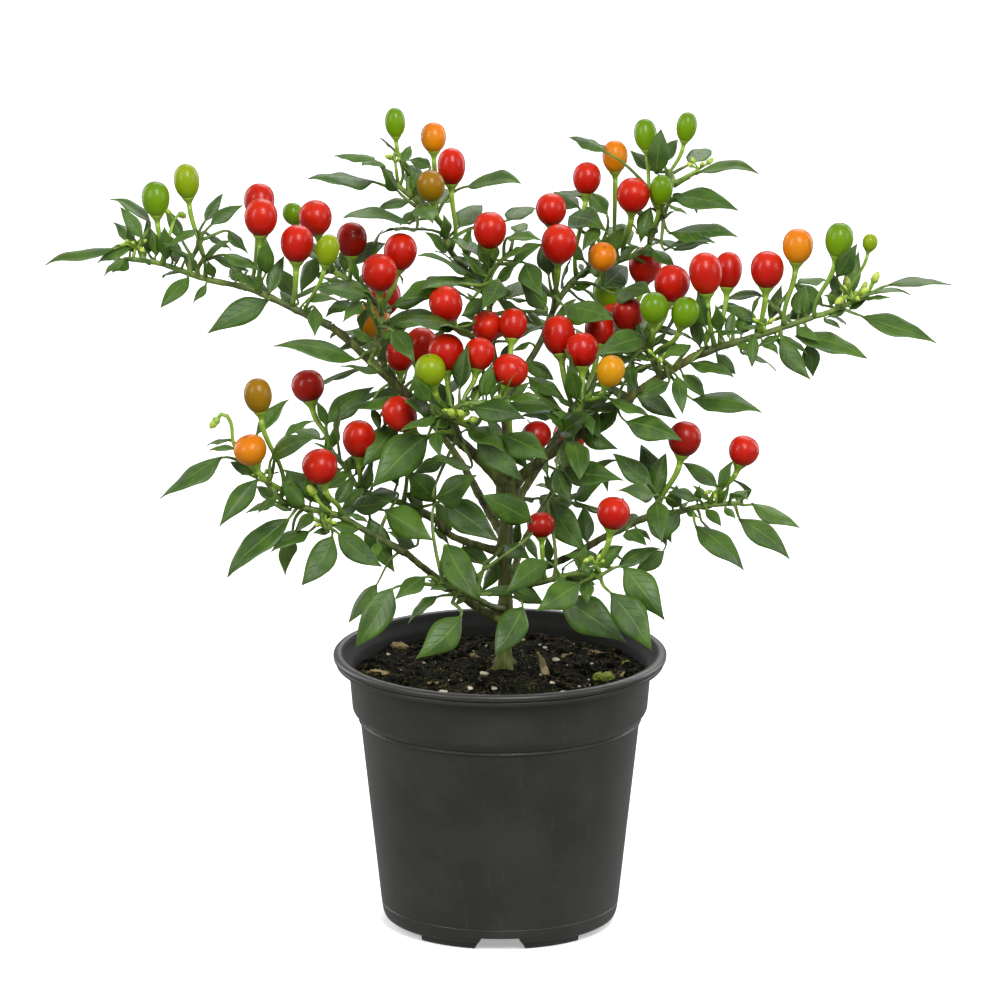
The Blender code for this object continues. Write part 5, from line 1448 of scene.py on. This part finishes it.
def arc(start, leaving, end, arriving, steps):
    """Places along a smooth arc, bowed by the lengths of the headings that it leaves and arrives with."""
    first, second = start + leaving, end - arriving
    found = []
    for k in range(steps + 1):
        u = k / steps
        v = 1.0 - u
        found.append(start * v**3 + first * (3 * v * v * u) + second * (3 * v * u * u) + end * u**3)
    return found


FIBRES, FIBRE_REACH, GROUND_REACH = 90, 53.0, 55.5
fibre_runs = []
for _ in range(FIBRES):
    x, y = random_place(FIBRE_REACH)
    angle, length = draw.uniform(0, 6.3), draw.uniform(4.0, 11.0)
    run = []
    for k in range(6):
        px, py = x + math.cos(angle) * length * k / 5, y + math.sin(angle) * length * k / 5
        if math.hypot(px, py) > GROUND_REACH:
            break
        angle += draw.uniform(-0.45, 0.45)
        height = ground_height(px, py) + 0.35 + 0.9 * math.sin(k * 0.63)
        run.append(((px, py, height), draw.uniform(0.08, 0.17)))
    if len(run) > 2:
        fibre_runs.append(run)
fibres = smooth(tubes("peat_fibres", fibre_runs, 4))
dress(fibres, root_brown, "potting_mix")
print(len(fibre_runs), "fibres laid")

# %% A root's stub at the surface
STUB = (
    ((18.6, -8.4, 99.5), 1.9), ((17.6, -6.8, 103.5), 1.5), ((16.0, -5.0, 107.4), 1.1),
    ((14.8, -3.8, 110.0), 0.7),
)
stub = tubes("root_stub", [STUB], 10)
apply_modifier(stub, "SUBSURF", levels=2)
weathered(stub, 0.5, 1.8)
smooth(stub)
dress(stub, root_pale, "potting_mix")
print("stub set with", len(stub.data.polygons), "faces")

# %% [markdown]
# ## The woody stem
#
# The stem forks like a young tree: a trunk with a flared foot, then limbs with a swollen collar at each
# fork. Separate tubes would meet in hard creases, so they are melted into one skin with a voxel remesh,
# which is what the growing wood does. Fine ridges then run along the bark.

# %% Stem
STEM_VOXEL = 0.5
TRUNK_FROM = 96.0
COLLAR, COLLAR_REACH = 0.35, 7.0
# Thicker places of the trunk: by how much, at what height, over what reach. The foot's flare goes on below.
FOOT_FLARE, FORK = (1.9, 99.0, 6.0), (2.2, 175.0, 7.0)
LOW_WHORL, MIDDLE_WHORL = (0.7, 124.0, 5.0), (0.6, 151.0, 5.0)
# Surface roots: the turn and reach of each, and how high they leave the trunk
ROOTS = ((0.4, 10.0), (2.3, 11.0), (3.9, 9.0), (5.2, 12.0))
ROOT_HEIGHT = 106.0


def branch_run(foot_radius, tip_radius, knots, collar):
    """A tapered branch with a collar at its foot and faint swellings along it."""
    path = Path(knots)
    count = max(8, round(path.length / 1.6))
    run = []
    for k in range(count + 1):
        t = path.length * k / count
        radius = 0.86 * (foot_radius + (tip_radius - foot_radius) * (k / count) ** 0.7)
        radius *= 1.0 + collar * hump(t, COLLAR_REACH)
        radius *= 1.0 + 0.05 * math.sin(0.42 * t + foot_radius * 7.0) + 0.035 * math.sin(1.1 * t)
        run.append((path.at(t), radius))
    return run


def swelling(z, place, foot=False):
    """How much thicker the trunk is at a height."""
    much, level, reach = place
    return much * hump(max(z - level, 0.0) if foot else z - level, reach)


def trunk_run(foot_radius, tip_radius, knots):
    """The trunk, thicker at its foot and where the limbs leave it."""
    run = []
    for place, radius in branch_run(foot_radius, tip_radius, knots, 0.0):
        radius = radius + swelling(place.z, FOOT_FLARE, foot=True) + swelling(place.z, FORK)
        radius += swelling(place.z, LOW_WHORL) + swelling(place.z, MIDDLE_WHORL)
        if place.z > TRUNK_FROM:
            run.append((place, radius))
    return run


def root_run(turn, reach):
    """A surface root that dives into the ground as it thins."""
    run = []
    for k in range(7):
        u = k / 6
        x, y = TRUNK_X + (2.0 + reach * u) * math.cos(turn), (2.0 + reach * u) * math.sin(turn)
        run.append(((x, y, ROOT_HEIGHT - 7.5 * u ** 0.7), 1.9 - 1.3 * u))
    return run


(_, *trunk), *limbs = STEM
stem_runs = [trunk_run(*trunk)]
stem_runs += [branch_run(foot, tip, knots, COLLAR) for _, foot, tip, knots in limbs]
stem_runs += [root_run(turn, reach) for turn, reach in ROOTS]
stem = tubes("woody_stem", stem_runs, 12)
apply_modifier(stem, "REMESH", mode="VOXEL", voxel_size=STEM_VOXEL * MM, adaptivity=0.0)
apply_modifier(stem, "SMOOTH", factor=0.5, iterations=4)
rows = corners(stem) / MM
normals = np.array([vertex.normal for vertex in stem.data.vertices])
ridges = np.array([
    0.16 * noise.noise(Vector((x / 0.9, y / 0.9, z / 7.0))) + 0.22 * noise.noise(Vector((x, y, z)) / 4.0)
    for x, y, z in rows
])
set_corners(stem, (rows + normals * ridges[:, None]) * MM)
smooth(stem)
dress(stem, bark, "bark", "stem")
print("stem has", len(stem.data.polygons), "faces")

# %% [markdown]
# ## Leaves
#
# One leaf is modelled flat: a grid is resized row by row to the leaf's outline and given a thickness, and
# its map is kept from before, so that the map still says how far along and across each point lies. Three
# outlines serve, broad, slender and blunt. Each leaf on the plant is a copy, bent in code along the line
# that the frame gives it: arched, folded at the rib, waved at the margin, twisted a little and dimpled
# between its veins. Bending by numbers was chosen over a lattice for each leaf, since there are hundreds.

# %% Flat leaves
LEAF_GRID, SMALL_LEAF_GRID = (6, 14), (4, 8)
# Each outline: share along the leaf, and breadth there as a share of the most
OUTLINES = {
    "broad": (
        (0.0, 0.05), (0.04, 0.14), (0.1, 0.37), (0.19, 0.7), (0.29, 0.93), (0.39, 1.0), (0.5, 0.95),
        (0.61, 0.79), (0.72, 0.58), (0.82, 0.36), (0.9, 0.19), (0.95, 0.09), (1.0, 0.012),
    ),
    "slender": (
        (0.0, 0.05), (0.05, 0.17), (0.13, 0.48), (0.23, 0.79), (0.34, 0.98), (0.44, 1.0), (0.56, 0.85),
        (0.68, 0.61), (0.79, 0.38), (0.88, 0.2), (0.94, 0.09), (1.0, 0.01),
    ),
    "blunt": (
        (0.0, 0.05), (0.04, 0.2), (0.11, 0.5), (0.21, 0.82), (0.32, 0.98), (0.44, 1.0), (0.58, 0.9),
        (0.71, 0.7), (0.82, 0.47), (0.91, 0.26), (0.96, 0.12), (1.0, 0.02),
    ),
}


def flat_leaf(kind, columns, rows):
    """A leaf one unit long and two wide, its thickness one unit, with the map named blade."""
    deselect_all()
    bpy.ops.mesh.primitive_grid_add(x_subdivisions=columns, y_subdivisions=rows, size=2.0, calc_uvs=True)
    leaf = bpy.context.active_object
    leaf.name = "flat_" + kind
    leaf.data.uv_layers[0].name = "blade"
    leaf.scale = (1.0, 0.5, 1.0)
    leaf.location = (0.0, 0.5, 0.0)
    settle(leaf)
    shares, breadths = zip(*OUTLINES[kind])
    for k in range(rows + 1):
        share = k / rows
        edit_with(leaf, "VERT", lambda corner: abs(corner.co.y - share) < 0.01)
        breadth = float(np.interp(share, shares, breadths))
        bpy.ops.transform.resize(value=(breadth, 1.0, 1.0), center_override=(0.0, share, 0.0))
        bpy.ops.object.mode_set(mode="OBJECT")
    apply_modifier(leaf, "SOLIDIFY", thickness=1.0, offset=0.0)
    smooth(leaf)
    mark(leaf, "under", corners(leaf)[:, 2] < 0.0)
    return leaf


FLAT_LEAVES = {kind: flat_leaf(kind, *LEAF_GRID) for kind in OUTLINES}
SMALL_LEAVES = {kind: flat_leaf(kind, *SMALL_LEAF_GRID) for kind in OUTLINES}
print("flat leaves:", {kind: len(leaf.data.polygons) for kind, leaf in FLAT_LEAVES.items()})

# %% Bending a copy to its place
LEAF_THICKNESS, RIB_THICKER, RIB_REACH = 0.34, 1.2, 0.09
DIMPLE = 0.016


def bent_leaf(name, blade, width, character, tint, fresh, models=FLAT_LEAVES):
    """A copy of a flat leaf, laid from the blade's base to its tip, with a little character of its own."""
    kind = character.choice(["broad", "broad", "slender", "blunt"])
    leaf = copy_of(models[kind], name)
    rows = corners(leaf)
    across, share, level = rows[:, 0], rows[:, 1], rows[:, 2]
    chord = np.array(blade.tip - blade.base)
    length = float(np.linalg.norm(chord))
    along = chord / length
    up = np.array(blade.up)
    side = np.cross(along, up)
    arch = LEAF_ARCH * character.uniform(0.45, 1.0)
    nod = character.uniform(0.0, 0.05)
    sweep = character.uniform(-0.05, 0.05)
    fold = character.uniform(-0.20, 0.10)
    twist = character.uniform(-0.35, 0.35)
    wave = character.uniform(0.008, 0.024)
    waves = character.uniform(1.6, 2.8)
    phase = character.uniform(0.0, 6.3)
    half = 0.5 * width
    breadth = np.interp(share, *zip(*OUTLINES[kind]))
    edge = np.abs(across) / np.maximum(breadth, 1e-3)
    middle = np.sin(np.pi * share)
    rise = 4 * arch * length * share * (1 - share) - nod * length * np.sin(2 * np.pi * share) * share
    drift = 4 * sweep * length * share * (1 - share)
    lift = fold * width * (np.sqrt(across**2 + 0.02) - 0.14)
    if fold > 0:
        lift -= 0.35 * hump(across, 0.12)
    ripple = wave * length * edge**2 * np.sin(2 * np.pi * waves * share + phase + (across > 0) * 1.3) * middle
    dimple = np.abs(np.sin(np.pi * (SIDE_VEINS * share - VEIN_SWEEP * edge))) - 0.6
    dimple = DIMPLE * width * dimple * middle * (1 - edge**3) * (edge > 0.12)
    thick = LEAF_THICKNESS * (1.0 + RIB_THICKER * hump(across, RIB_REACH) * (1 - 0.6 * share))
    thick *= 0.4 + 0.6 * (1 - edge**4)
    x = across * half
    z = lift + ripple + dimple + level * thick
    turn = twist * (share - 0.35)
    x, z = x * np.cos(turn) - z * np.sin(turn), x * np.sin(turn) + z * np.cos(turn)
    places = np.array(blade.base) + share[:, None] * chord
    places = places + (x + drift)[:, None] * side + (z + rise)[:, None] * up
    set_corners(leaf, places * MM)
    mark(leaf, "tint", tint)
    mark(leaf, "fresh", fresh)
    return leaf


print("leaves can be bent")

# %% [markdown]
# ## Berries
#
# A berry is an egg on end, a little narrower where it sits in its cup. The cup, which botanists call the
# calyx, is a short green flare with five small teeth, and the stalk thickens towards it. Both are turned
# once on the lathe and copied for each berry.

# %% Berry and cup
BERRY_RINGS, BERRY_SEGMENTS = 18, 28
# The cup from its foot to its rim and down inside: radius and level in millimetres
CUP = (
    (0.0, -3.4), (1.22, -3.4), (1.32, -2.4), (1.75, -1.3), (2.5, -0.35), (3.05, 0.45), (3.3, 1.15),
    (3.22, 1.5), (2.95, 1.35), (2.5, 0.7), (0.0, 0.3),
)
CUP_TEETH, TOOTH_HEIGHT = 5, 0.45

profile = []
for k in range(BERRY_RINGS + 1):
    turn = -math.pi / 2 + math.pi * k / BERRY_RINGS
    radius = 0.5 * max(math.cos(turn), 0.0) ** 0.92 * (1.0 + 0.07 * math.sin(turn))
    profile.append((radius * MM, 0.5 * math.sin(turn) * MM))
berry_model = lathe("berry_model", profile, BERRY_SEGMENTS)
mark(berry_model, "rise", corners(berry_model)[:, 2] / MM + 0.5)
smooth(berry_model)

cup_model = lathe("cup_model", [(radius * MM, level * MM) for radius, level in CUP], 30)
rows = corners(cup_model) / MM
turns = np.arctan2(rows[:, 1], rows[:, 0])
rim = np.clip((rows[:, 2] - 0.4) / 1.0, 0.0, 1.0)
rows[:, 2] += rim * (TOOTH_HEIGHT * np.maximum(np.cos(CUP_TEETH * turns), 0.0) ** 3 - 0.12)
set_corners(cup_model, rows * MM)
mark(cup_model, "rise", 1.0)
smooth(cup_model, 50.0)
cup_model.data.materials.append(stalk_green.material)
print("berry of", len(berry_model.data.polygons), "faces, cup of", len(cup_model.data.polygons))


# %% Setting a berry on its stalk
def pointed(direction):
    """The turn that points a model's foot-to-tip line along a direction."""
    return direction.to_track_quat("Z", "Y").to_matrix().to_4x4()


def set_down(model, name, place, turn, grade):
    """A copy of a model, sized, turned and moved to its place in millimetres."""
    twin = copy_of(model, name)
    twin.data.transform(Matrix.Translation(place * MM) @ turn @ Matrix.Scale(grade, 4))
    return twin


def stalk_run(root, out, crown, cup_foot, foot_radius):
    """A stalk that leaves the twig sideways and turns up into the cup."""
    climb = (cup_foot - root).length
    leaving = (out + crown * 0.8).normalized() * (0.4 * climb)
    places = arc(root - out * 0.8, leaving, cup_foot, crown * (0.4 * climb), max(8, round(climb / 1.8)))
    run = []
    for k, place in enumerate(places):
        u = k / (len(places) - 1)
        run.append((place, foot_radius + 0.3 * u * u + 0.35 * hump(u, 0.08)))
    return run


# The width of a full-grown berry, whose cup and stalk have full size, and how deep its three lobes are
FULL_WIDTH, LOBES = 13.0, 0.012
STALK_RADIUS = 0.95


def set_berry(name, berry, character):
    """Berry, cup and stalk as one piece with two finishes."""
    grade = min(1.0, berry.width / FULL_WIDTH)
    turn = pointed(berry.crown) @ Matrix.Rotation(character.uniform(0, 6.3), 4, "Z")
    skin = copy_of(berry_model, name)
    rows = corners(skin) / MM
    lobes = np.cos(3 * np.arctan2(rows[:, 1], rows[:, 0]) + character.uniform(0, 6))
    rows[:, :2] *= (1.0 + LOBES * lobes * (1 - 4 * rows[:, 2] ** 2))[:, None]
    set_corners(skin, rows * MM)
    skin.data.transform(turn @ Matrix.Diagonal((berry.width, berry.width, berry.height, 1.0)))
    skin.data.transform(Matrix.Translation(berry.centre * MM))
    skin.data.materials.append(SKINS[berry.ripeness].material)
    seat = berry.centre - berry.crown * (0.5 * berry.height)
    cup = set_down(cup_model, name + "_cup", seat, turn, grade)
    foot = seat - berry.crown * (3.0 * grade)
    run = stalk_run(berry.foot, berry.out, berry.crown, foot, STALK_RADIUS * grade)
    stalk = tubes(name + "_stalk", [run], 10)
    smooth(stalk)
    heights = corners(stalk)[:, 2]
    mark(stalk, "rise", (heights - heights.min()) / max(np.ptp(heights), 1e-6))
    stalk.data.materials.append(stalk_green.material)
    return joined([skin, cup, stalk], name)


print("berries can be set")

# %% [markdown]
# ## Shoots
#
# Now each shoot is dressed: the twig and its leaf stalks as tubes, its leaves as bent copies, and its
# berries. A twig swells where something grows from it, and its wood is older near the stem, which it
# stores for the finish.

# %% Twigs and leaf stalks
def twig_run(twig):
    """The twig's line, swollen at each joint."""
    joints = [blade.t for blade in twig.blades]
    count = max(12, round(twig.path.length / 1.1))
    run = []
    for k in range(count + 1):
        t = twig.path.length * k / count
        swell = max([hump(t - joint, 1.1) for joint in joints], default=0.0)
        radius = twig.radius(t) * (0.96 + 0.22 * swell) + 0.4 * hump(t, 4.0)
        run.append((twig.path.at(t), radius))
    return run


LEAF_STALK_FOOT, LEAF_STALK_TIP = 0.64, 0.42


def leaf_stalk_run(start, heading, blade):
    """A leaf stalk from inside the wood, arching into the blade's rib."""
    way = blade.base - start
    out = (way - way.dot(heading) * heading).normalized()
    along = (blade.tip - blade.base).normalized()
    reach = way.length
    leaving = (out * 0.8 + heading * 0.5).normalized() * (0.45 * reach)
    places = arc(start, leaving, blade.base + along * 1.8, along * (0.4 * reach), max(6, round(reach / 1.5)))
    foot = LEAF_STALK_FOOT + min(0.02 * reach, 0.2)
    thinning = (LEAF_STALK_TIP - foot)
    return [(place, foot + thinning * k / (len(places) - 1)) for k, place in enumerate(places)]


# Blades further than this from the twig share a side twig, if they are near each other and not too many
SIDE_REACH, SIDE_NEARNESS, SIDE_MOST = 8.5, 17.0, 6


def gathered(twig):
    """The blades in groups: those far out are grouped with neighbours, and the others stand alone."""
    near, groups = [], []
    for blade in sorted(twig.blades, key=lambda blade: blade.t):
        if (blade.base - twig.path.at(blade.t)).length < SIDE_REACH:
            near.append(blade)
            continue
        for group in groups:
            middle = sum((other.base for other in group), Vector()) / len(group)
            if len(group) < SIDE_MOST and (middle - blade.base).length < SIDE_NEARNESS:
                group.append(blade)
                break
        else:
            groups.append([blade])
    near += [group[0] for group in groups if len(group) == 1]
    return near, [group for group in groups if len(group) > 1]


def side_twig_runs(twig, group):
    """A side twig towards the middle of a group, and the leaf stalks that it bears."""
    start_t = sum(blade.t for blade in group) / len(group)
    start, heading = twig.path.at(start_t), twig.path.heading(start_t)
    middle = sum((blade.base for blade in group), Vector()) / len(group)
    way = middle - start
    end = start + way * 0.78
    steps = max(8, round(way.length / 1.2))
    bow = (heading * 0.6 + way.normalized()).normalized() * (0.35 * way.length)
    places = arc(start, bow, end, way.normalized() * (0.3 * way.length), steps)
    runs = [[(place, 1.15 - 0.45 * k / steps) for k, place in enumerate(places)]]
    order = sorted(group, key=lambda blade: (blade.base - start).length)
    for number, blade in enumerate(order):
        k = round(steps * (0.45 + 0.55 * number / max(len(order) - 1, 1)))
        ahead = (places[min(k + 1, steps)] - places[max(k - 1, 0)]).normalized()
        runs.append(leaf_stalk_run(places[k], ahead, blade))
    return runs


for twig in TWIGS:
    near, groups = gathered(twig)
    runs = [twig_run(twig)]
    runs += [leaf_stalk_run(twig.path.at(blade.t), twig.path.heading(blade.t), blade) for blade in near]
    for group in groups:
        runs += side_twig_runs(twig, group)
    piece = smooth(tubes("twig_" + twig.name, runs, 8))
    rows = corners(piece) / MM
    line = np.array(twig.path.points)
    apart = np.linalg.norm(rows[:, None, :] - line[None, :, :], axis=2)
    nearest = apart.argmin(axis=1)
    reach = np.array(twig.path.reach)[nearest]
    on_stalk = np.clip((apart.min(axis=1) - 2.0) / 1.5, 0.0, 1.0)
    fresh = np.clip(reach / max(twig.path.length, 30.0) * 0.9, 0.0, 1.0)
    mark(piece, "freshness", np.maximum(fresh, on_stalk * 0.75))
    joints = np.array([blade.t for blade in twig.blades])
    close = np.abs(reach[:, None] - joints[None, :]).min(axis=1)
    mark(piece, "joint", hump(close, 1.2) * (1 - on_stalk) * fresh)
    dress(piece, twig_green, "leaf")
print(len(TWIGS), "twigs dressed")

# %% Leaves of every shoot
# A leaf's breadth as a share of its length: most in the crown's middle, less far out and on small leaves
BROADEST, SMALL_BROADEST = 0.46, 0.40
for twig in TWIGS:
    character = random.Random("leaves " + twig.name)
    made = []
    for blade in twig.blades:
        length = (blade.tip - blade.base).length
        far_out = min(max((abs(blade.base.x) - 45.0) / 40.0, 0.0), 1.0)
        grade = BROADEST - 0.11 * far_out
        width = min(grade * length, 15.0) * character.uniform(0.92, 1.10)
        share = blade.t / twig.path.length
        fresh = max(0.0, share - 0.8) * 1.6 * max(0.0, 1.0 - length / 30.0)
        made.append(bent_leaf("leaf", blade, width, character, character.uniform(0.0, 0.7), fresh))
    leaves = joined(made, "leaves_" + twig.name)
    dress(leaves, leaf_green, "leaf", "shoot_" + twig.name)
print("leaves dressed")

# %% [markdown]
# Between the grown leaves a chilli carries many young ones: they open at the joints, and fill the gaps
# close to the wood. Some have places of their own, and one or two more sit at most joints, by a seeded draw.
# They are detail for the eye only, so they stand for no body, and they stay within the frame's box.

# %% Young leaves
# Base and tip of each leaf with a place of its own
YOUNG_LEAVES = (
    (53, -10, 216, 69, -14, 207), (-71, 33, 260, -78, 35, 245), (-2, 8, 256, 9, 4, 266),
    (61, 43, 291, 63, 44, 309), (5, 11, 264, 17, 7, 272), (-76, -12, 254, -63, -10, 254),
    (-1, -2, 146, -7, 1, 133), (-15, -5, 153, -3, -9, 145), (-48, -28, 144, -59, -33, 130),
    (131, -13, 264, 139, -15, 278), (-42, 7, 247, -28, 10, 249), (-143, -8, 275, -157, -6, 268),
    (-54, -13, 177, -49, -16, 192), (23, 34, 196, 8, 31, 196), (-73, -37, 176, -80, -42, 169),
    (120, -12, 237, 122, -10, 223), (-21, 32, 262, -29, 30, 271), (31, -6, 199, 46, -7, 193),
    (10, 9, 224, 21, 4, 218), (64, -19, 155, 53, -20, 147), (-91, -12, 265, -91, -15, 280),
    (109, -12, 240, 100, -16, 236), (70, -21, 172, 64, -24, 160), (-19, -7, 160, -26, -6, 172),
    (-76, -41, 179, -85, -43, 190), (-122, -11, 271, -131, -14, 278), (24, 34, 247, 28, 27, 261),
    (-22, 30, 178, -34, 29, 173), (85, -23, 182, 91, -24, 193), (-103, -43, 203, -113, -41, 202),
    (-55, -35, 168, -67, -38, 171), (11, 24, 149, 15, 21, 140), (71, -10, 224, 80, -11, 214),
    (6, 23, 146, 8, 19, 157), (82, -22, 176, 75, -24, 183), (-26, -10, 162, -20, -10, 155),
    (102, -9, 243, 93, -9, 242), (132, -10, 254, 126, -13, 257), (30, -23, 217, 26, -29, 233),
    (-50, -13, 211, -47, -17, 203), (80, -11, 243, 77, -13, 258), (24, -36, 152, 31, -43, 158),
    (-59, -34, 174, -51, -33, 170), (68, 41, 261, 82, 40, 264), (46, -10, 210, 37, -11, 199),
    (19, -8, 147, 18, -6, 158), (85, -9, 241, 84, -13, 253), (-53, -17, 180, -62, -17, 171),
    (28, 38, 198, 21, 40, 202), (-38, -9, 220, -34, -16, 230), (98, -11, 249, 102, -13, 257),
    (12, 13, 231, 5, 14, 227), (5, 3, 212, 12, 5, 217), (-30, -14, 172, -38, -21, 179),
    (-81, -40, 177, -89, -39, 179), (-68, -5, 202, -72, -4, 212), (4, 11, 249, 11, 14, 247),
    (135, -9, 250, 127, -11, 247), (-66, -38, 168, -73, -40, 168), (136, -9, 250, 143, -9, 254),
)
JOINT_LEAF_SHARE = 0.9
LOWEST_YOUNG_LEAF, LOWEST_BEARING_WOOD = 106.0, 112.0
wood = []
for path in [twig.path for twig in TWIGS] + [Path(knots) for *_, knots in STEM]:
    wood += [(place, path.heading(t)) for place, t in zip(path.points, path.reach)]
wood = [(place, heading) for place, heading in wood if place.z > LOWEST_BEARING_WOOD]
wood_tree = search_tree([place for place, _ in wood])
low_corner, high_corner = (Vector(corner) / MM for corner in cad_box)


def facing_up(chord, share):
    """The upper face's direction: between the sky and the front, square to the blade."""
    way = Vector((0.0, -1.0, 0.15)).lerp(Vector((0.0, 0.0, 1.0)), share)
    along = chord.normalized()
    return (way - way.dot(along) * along).normalized()


def young_blades(character):
    """Blades with places of their own, then blades drawn at the joints."""
    for row in YOUNG_LEAVES:
        base, tip = Vector(row[:3]), Vector(row[3:])
        yield Blade(base, tip, facing_up(tip - base, character.uniform(0.25, 0.75)), 0.0)
    for twig in TWIGS:
        for blade in twig.blades:
            if character.random() > JOINT_LEAF_SHARE:
                continue
            root, heading = twig.path.at(blade.t), twig.path.heading(blade.t)
            turn = character.uniform(0.0, 2 * math.pi)
            side = heading.orthogonal().normalized()
            out = side * math.cos(turn) + heading.cross(side) * math.sin(turn)
            way = (out + heading * 0.5 + Vector((0.0, 0.0, character.uniform(-0.3, 0.9)))).normalized()
            length = character.uniform(6.0, 14.0)
            base = root + way * (twig.radius(blade.t) + 0.16 * length)
            tip = base + (way + Vector((0.0, 0.0, character.uniform(-0.4, 0.2)))).normalized() * length
            in_box = all(low < c < high for low, c, high in zip(low_corner, tip, high_corner))
            if in_box and tip.z > LOWEST_YOUNG_LEAF:
                yield Blade(base, tip, facing_up(tip - base, character.uniform(0.2, 0.9)), 0.0)


character = random.Random(31)
made, runs = [], []
for blade in young_blades(character):
    length = (blade.tip - blade.base).length
    grade = BROADEST if length > 12.0 else SMALL_BROADEST
    width = grade * length * character.uniform(0.9, 1.15)
    tint, fresh = character.uniform(0.1, 0.9), max(0.0, 0.30 - 0.02 * length)
    made.append(bent_leaf("young_leaf", blade, width, character, tint, fresh, SMALL_LEAVES))
    _, number, _ = wood_tree.find(blade.base)
    root, heading = wood[number]
    runs.append([(place, radius * 0.8) for place, radius in leaf_stalk_run(root, heading, blade)])
young_leaves = joined(made, "young_leaves")
dress(young_leaves, leaf_green, "leaf")
young_stalks = smooth(tubes("young_leaf_stalks", runs, 6))
mark(young_stalks, "freshness", 0.8)
dress(young_stalks, twig_green, "leaf")
print(len(runs), "young leaves")

# %% [markdown]
# The berries come last, each one piece with its cup and stalk. A ripe berry is mostly a body of its own in
# the frame, and stands for it. One that is grown together with its shoot there stands for nothing.

# %% Berries of every shoot
for twig in TWIGS:
    for berry in twig.berries:
        name = f"berry_{twig.name}_{berry.number}"
        piece = set_berry(name, berry, random.Random(name))
        if berry.alone:
            dress(piece, None, "fruit_" + berry.ripeness, f"fruit_{twig.name}_{berry.number}")
        else:
            dress(piece, None, "leaf")
print("berries set")

# %% [markdown]
# ## Flower buds
#
# A chilli flowers at the forks near its tips, while older forks already bear fruit. The buds are pale
# yellow-green, each on a thin stalk that nods, so a spray of them is a few arcs from one point, each ending
# in a small cup and a pointed bud. A spray grows from the nearest twig, which is looked up, not guessed.

# %% Sprays and single buds
# Each spray: middle, number of buds and size. Each lone bud: the knots of its stalk, and its size.
SPRAYS = (
    ((-15, -40, 213), 7, 1.5), ((-68, -40, 170), 5, 1.1), ((138, -10, 254), 7, 1.5),
    ((78, 43, 293), 4, 1.0), ((-41, 38, 297), 5, 1.0), ((-142, -8, 274), 6, 1.0),
    ((-127, -6, 285), 2, 1.4), ((37, -56, 160), 4, 1.0), ((62, -14, 231), 3, 0.9),
    ((103, -11, 244), 3, 0.9), ((54, 43, 268), 3, 0.9), ((-92, -38, 190), 2, 1.0),
    ((84, -22, 178), 3, 0.9),
)
LONE_BUDS = (
    (((-94, -39, 191), (-103, -39, 202), (-104.5, -39, 212), (-107.5, -39, 216.0), (-110, -39, 213.5)), 1.5),
    (((-66, -38, 176), (-70, -40, 180), (-72.5, -40, 184)), 1.7),
    (((137, -10, 253), (142.5, -10, 256), (145.5, -10, 261.5)), 1.4),
)
BUD = (
    (0.0, -1.3), (0.55, -1.2), (0.95, -0.6), (1.08, 0.1), (0.95, 0.8), (0.6, 1.4), (0.2, 1.8), (0.0, 1.85),
)
bud_model = lathe("bud_model", [(radius * MM, level * MM) for radius, level in BUD], 10)
smooth(bud_model)
bud_model.data.materials.append(bud_yellow.material)
twig_tree = search_tree([place for twig in TWIGS for place in twig.path.points])


def bud_and_cup(end, facing, size):
    """A bud and its cup at the end of a stalk."""
    turn = pointed(facing)
    bud = set_down(bud_model, "bud", end + facing * 1.2 * size, turn, size)
    return [bud, set_down(cup_model, "bud_cup", end, turn, 0.36 * size)]


bud_parts, bud_stalks = [], []
character = random.Random(23)
for place, count, size in SPRAYS:
    middle = Vector(place)
    root, _, _ = twig_tree.find(middle)
    if (middle - root).length > 1.5:
        bud_stalks.append([(root, 0.8), (root.lerp(middle, 0.5), 0.7), (middle, 0.65)])
    for k in range(count):
        angle = 2 * math.pi * (k + character.random() * 0.6) / count
        out = Vector((math.cos(angle), math.sin(angle), character.uniform(0.2, 1.3))).normalized()
        end = middle + out * character.uniform(2.4, 4.6) * size
        facing = (out + Vector((0, 0, character.uniform(-1.0, 0.4)))).normalized()
        grade = size * character.uniform(0.65, 1.0)
        places = arc(middle, out * 2.0, end, facing * 1.6, 6)
        bud_stalks.append([(spot, 0.36 * size + 0.12 * j / 6) for j, spot in enumerate(places)])
        bud_parts += bud_and_cup(end, facing, grade)
for knots, size in LONE_BUDS:
    path = Path(knots)
    root, _, _ = twig_tree.find(path.points[0])
    line = [root] + [path.at(path.length * k / 12) for k in range(13)]
    bud_stalks.append([(spot, 0.6 + 0.025 * k) for k, spot in enumerate(line)])
    bud_parts += bud_and_cup(path.points[-1], path.heading(path.length), size)
stalks = smooth(tubes("bud_stalks", bud_stalks, 6))
mark(stalks, "rise", 0.9)
stalks.data.materials.append(stalk_green.material)
buds = joined([stalks, *bud_parts], "flower_buds")
dress(buds, None, "leaf")
for model in [*FLAT_LEAVES.values(), *SMALL_LEAVES.values(), berry_model, cup_model, bud_model]:
    bpy.data.objects.remove(model)
print(len(bud_parts) // 2, "buds in", len(SPRAYS), "sprays and", len(LONE_BUDS), "alone")

# %% [markdown]
# ## Floor and finish
#
# A plain pale floor stands under the pot. It isn't part of the plant. The frame's box is printed last.

# %% Floor
deselect_all()
bpy.ops.mesh.primitive_plane_add(size=40.0, location=(0.0, 0.0, -0.0002))
floor = bpy.context.active_object
floor.name = "studio_floor"
floor_white = Finish("floor_white")
paper = floor_white.mix(floor_white.noise(1.5), 3 * (243.45,), 3 * (246.99,))
floor_white.set(Base_Color=paper, Roughness=0.9, Emission_Color=(255, 255, 255), Emission_Strength=0.35)
floor.data.materials.append(floor_white.material)
floor.visible_diffuse = False
floor.visible_glossy = False

print("frame", [round(c, 4) for corner in cad_box for c in corner])
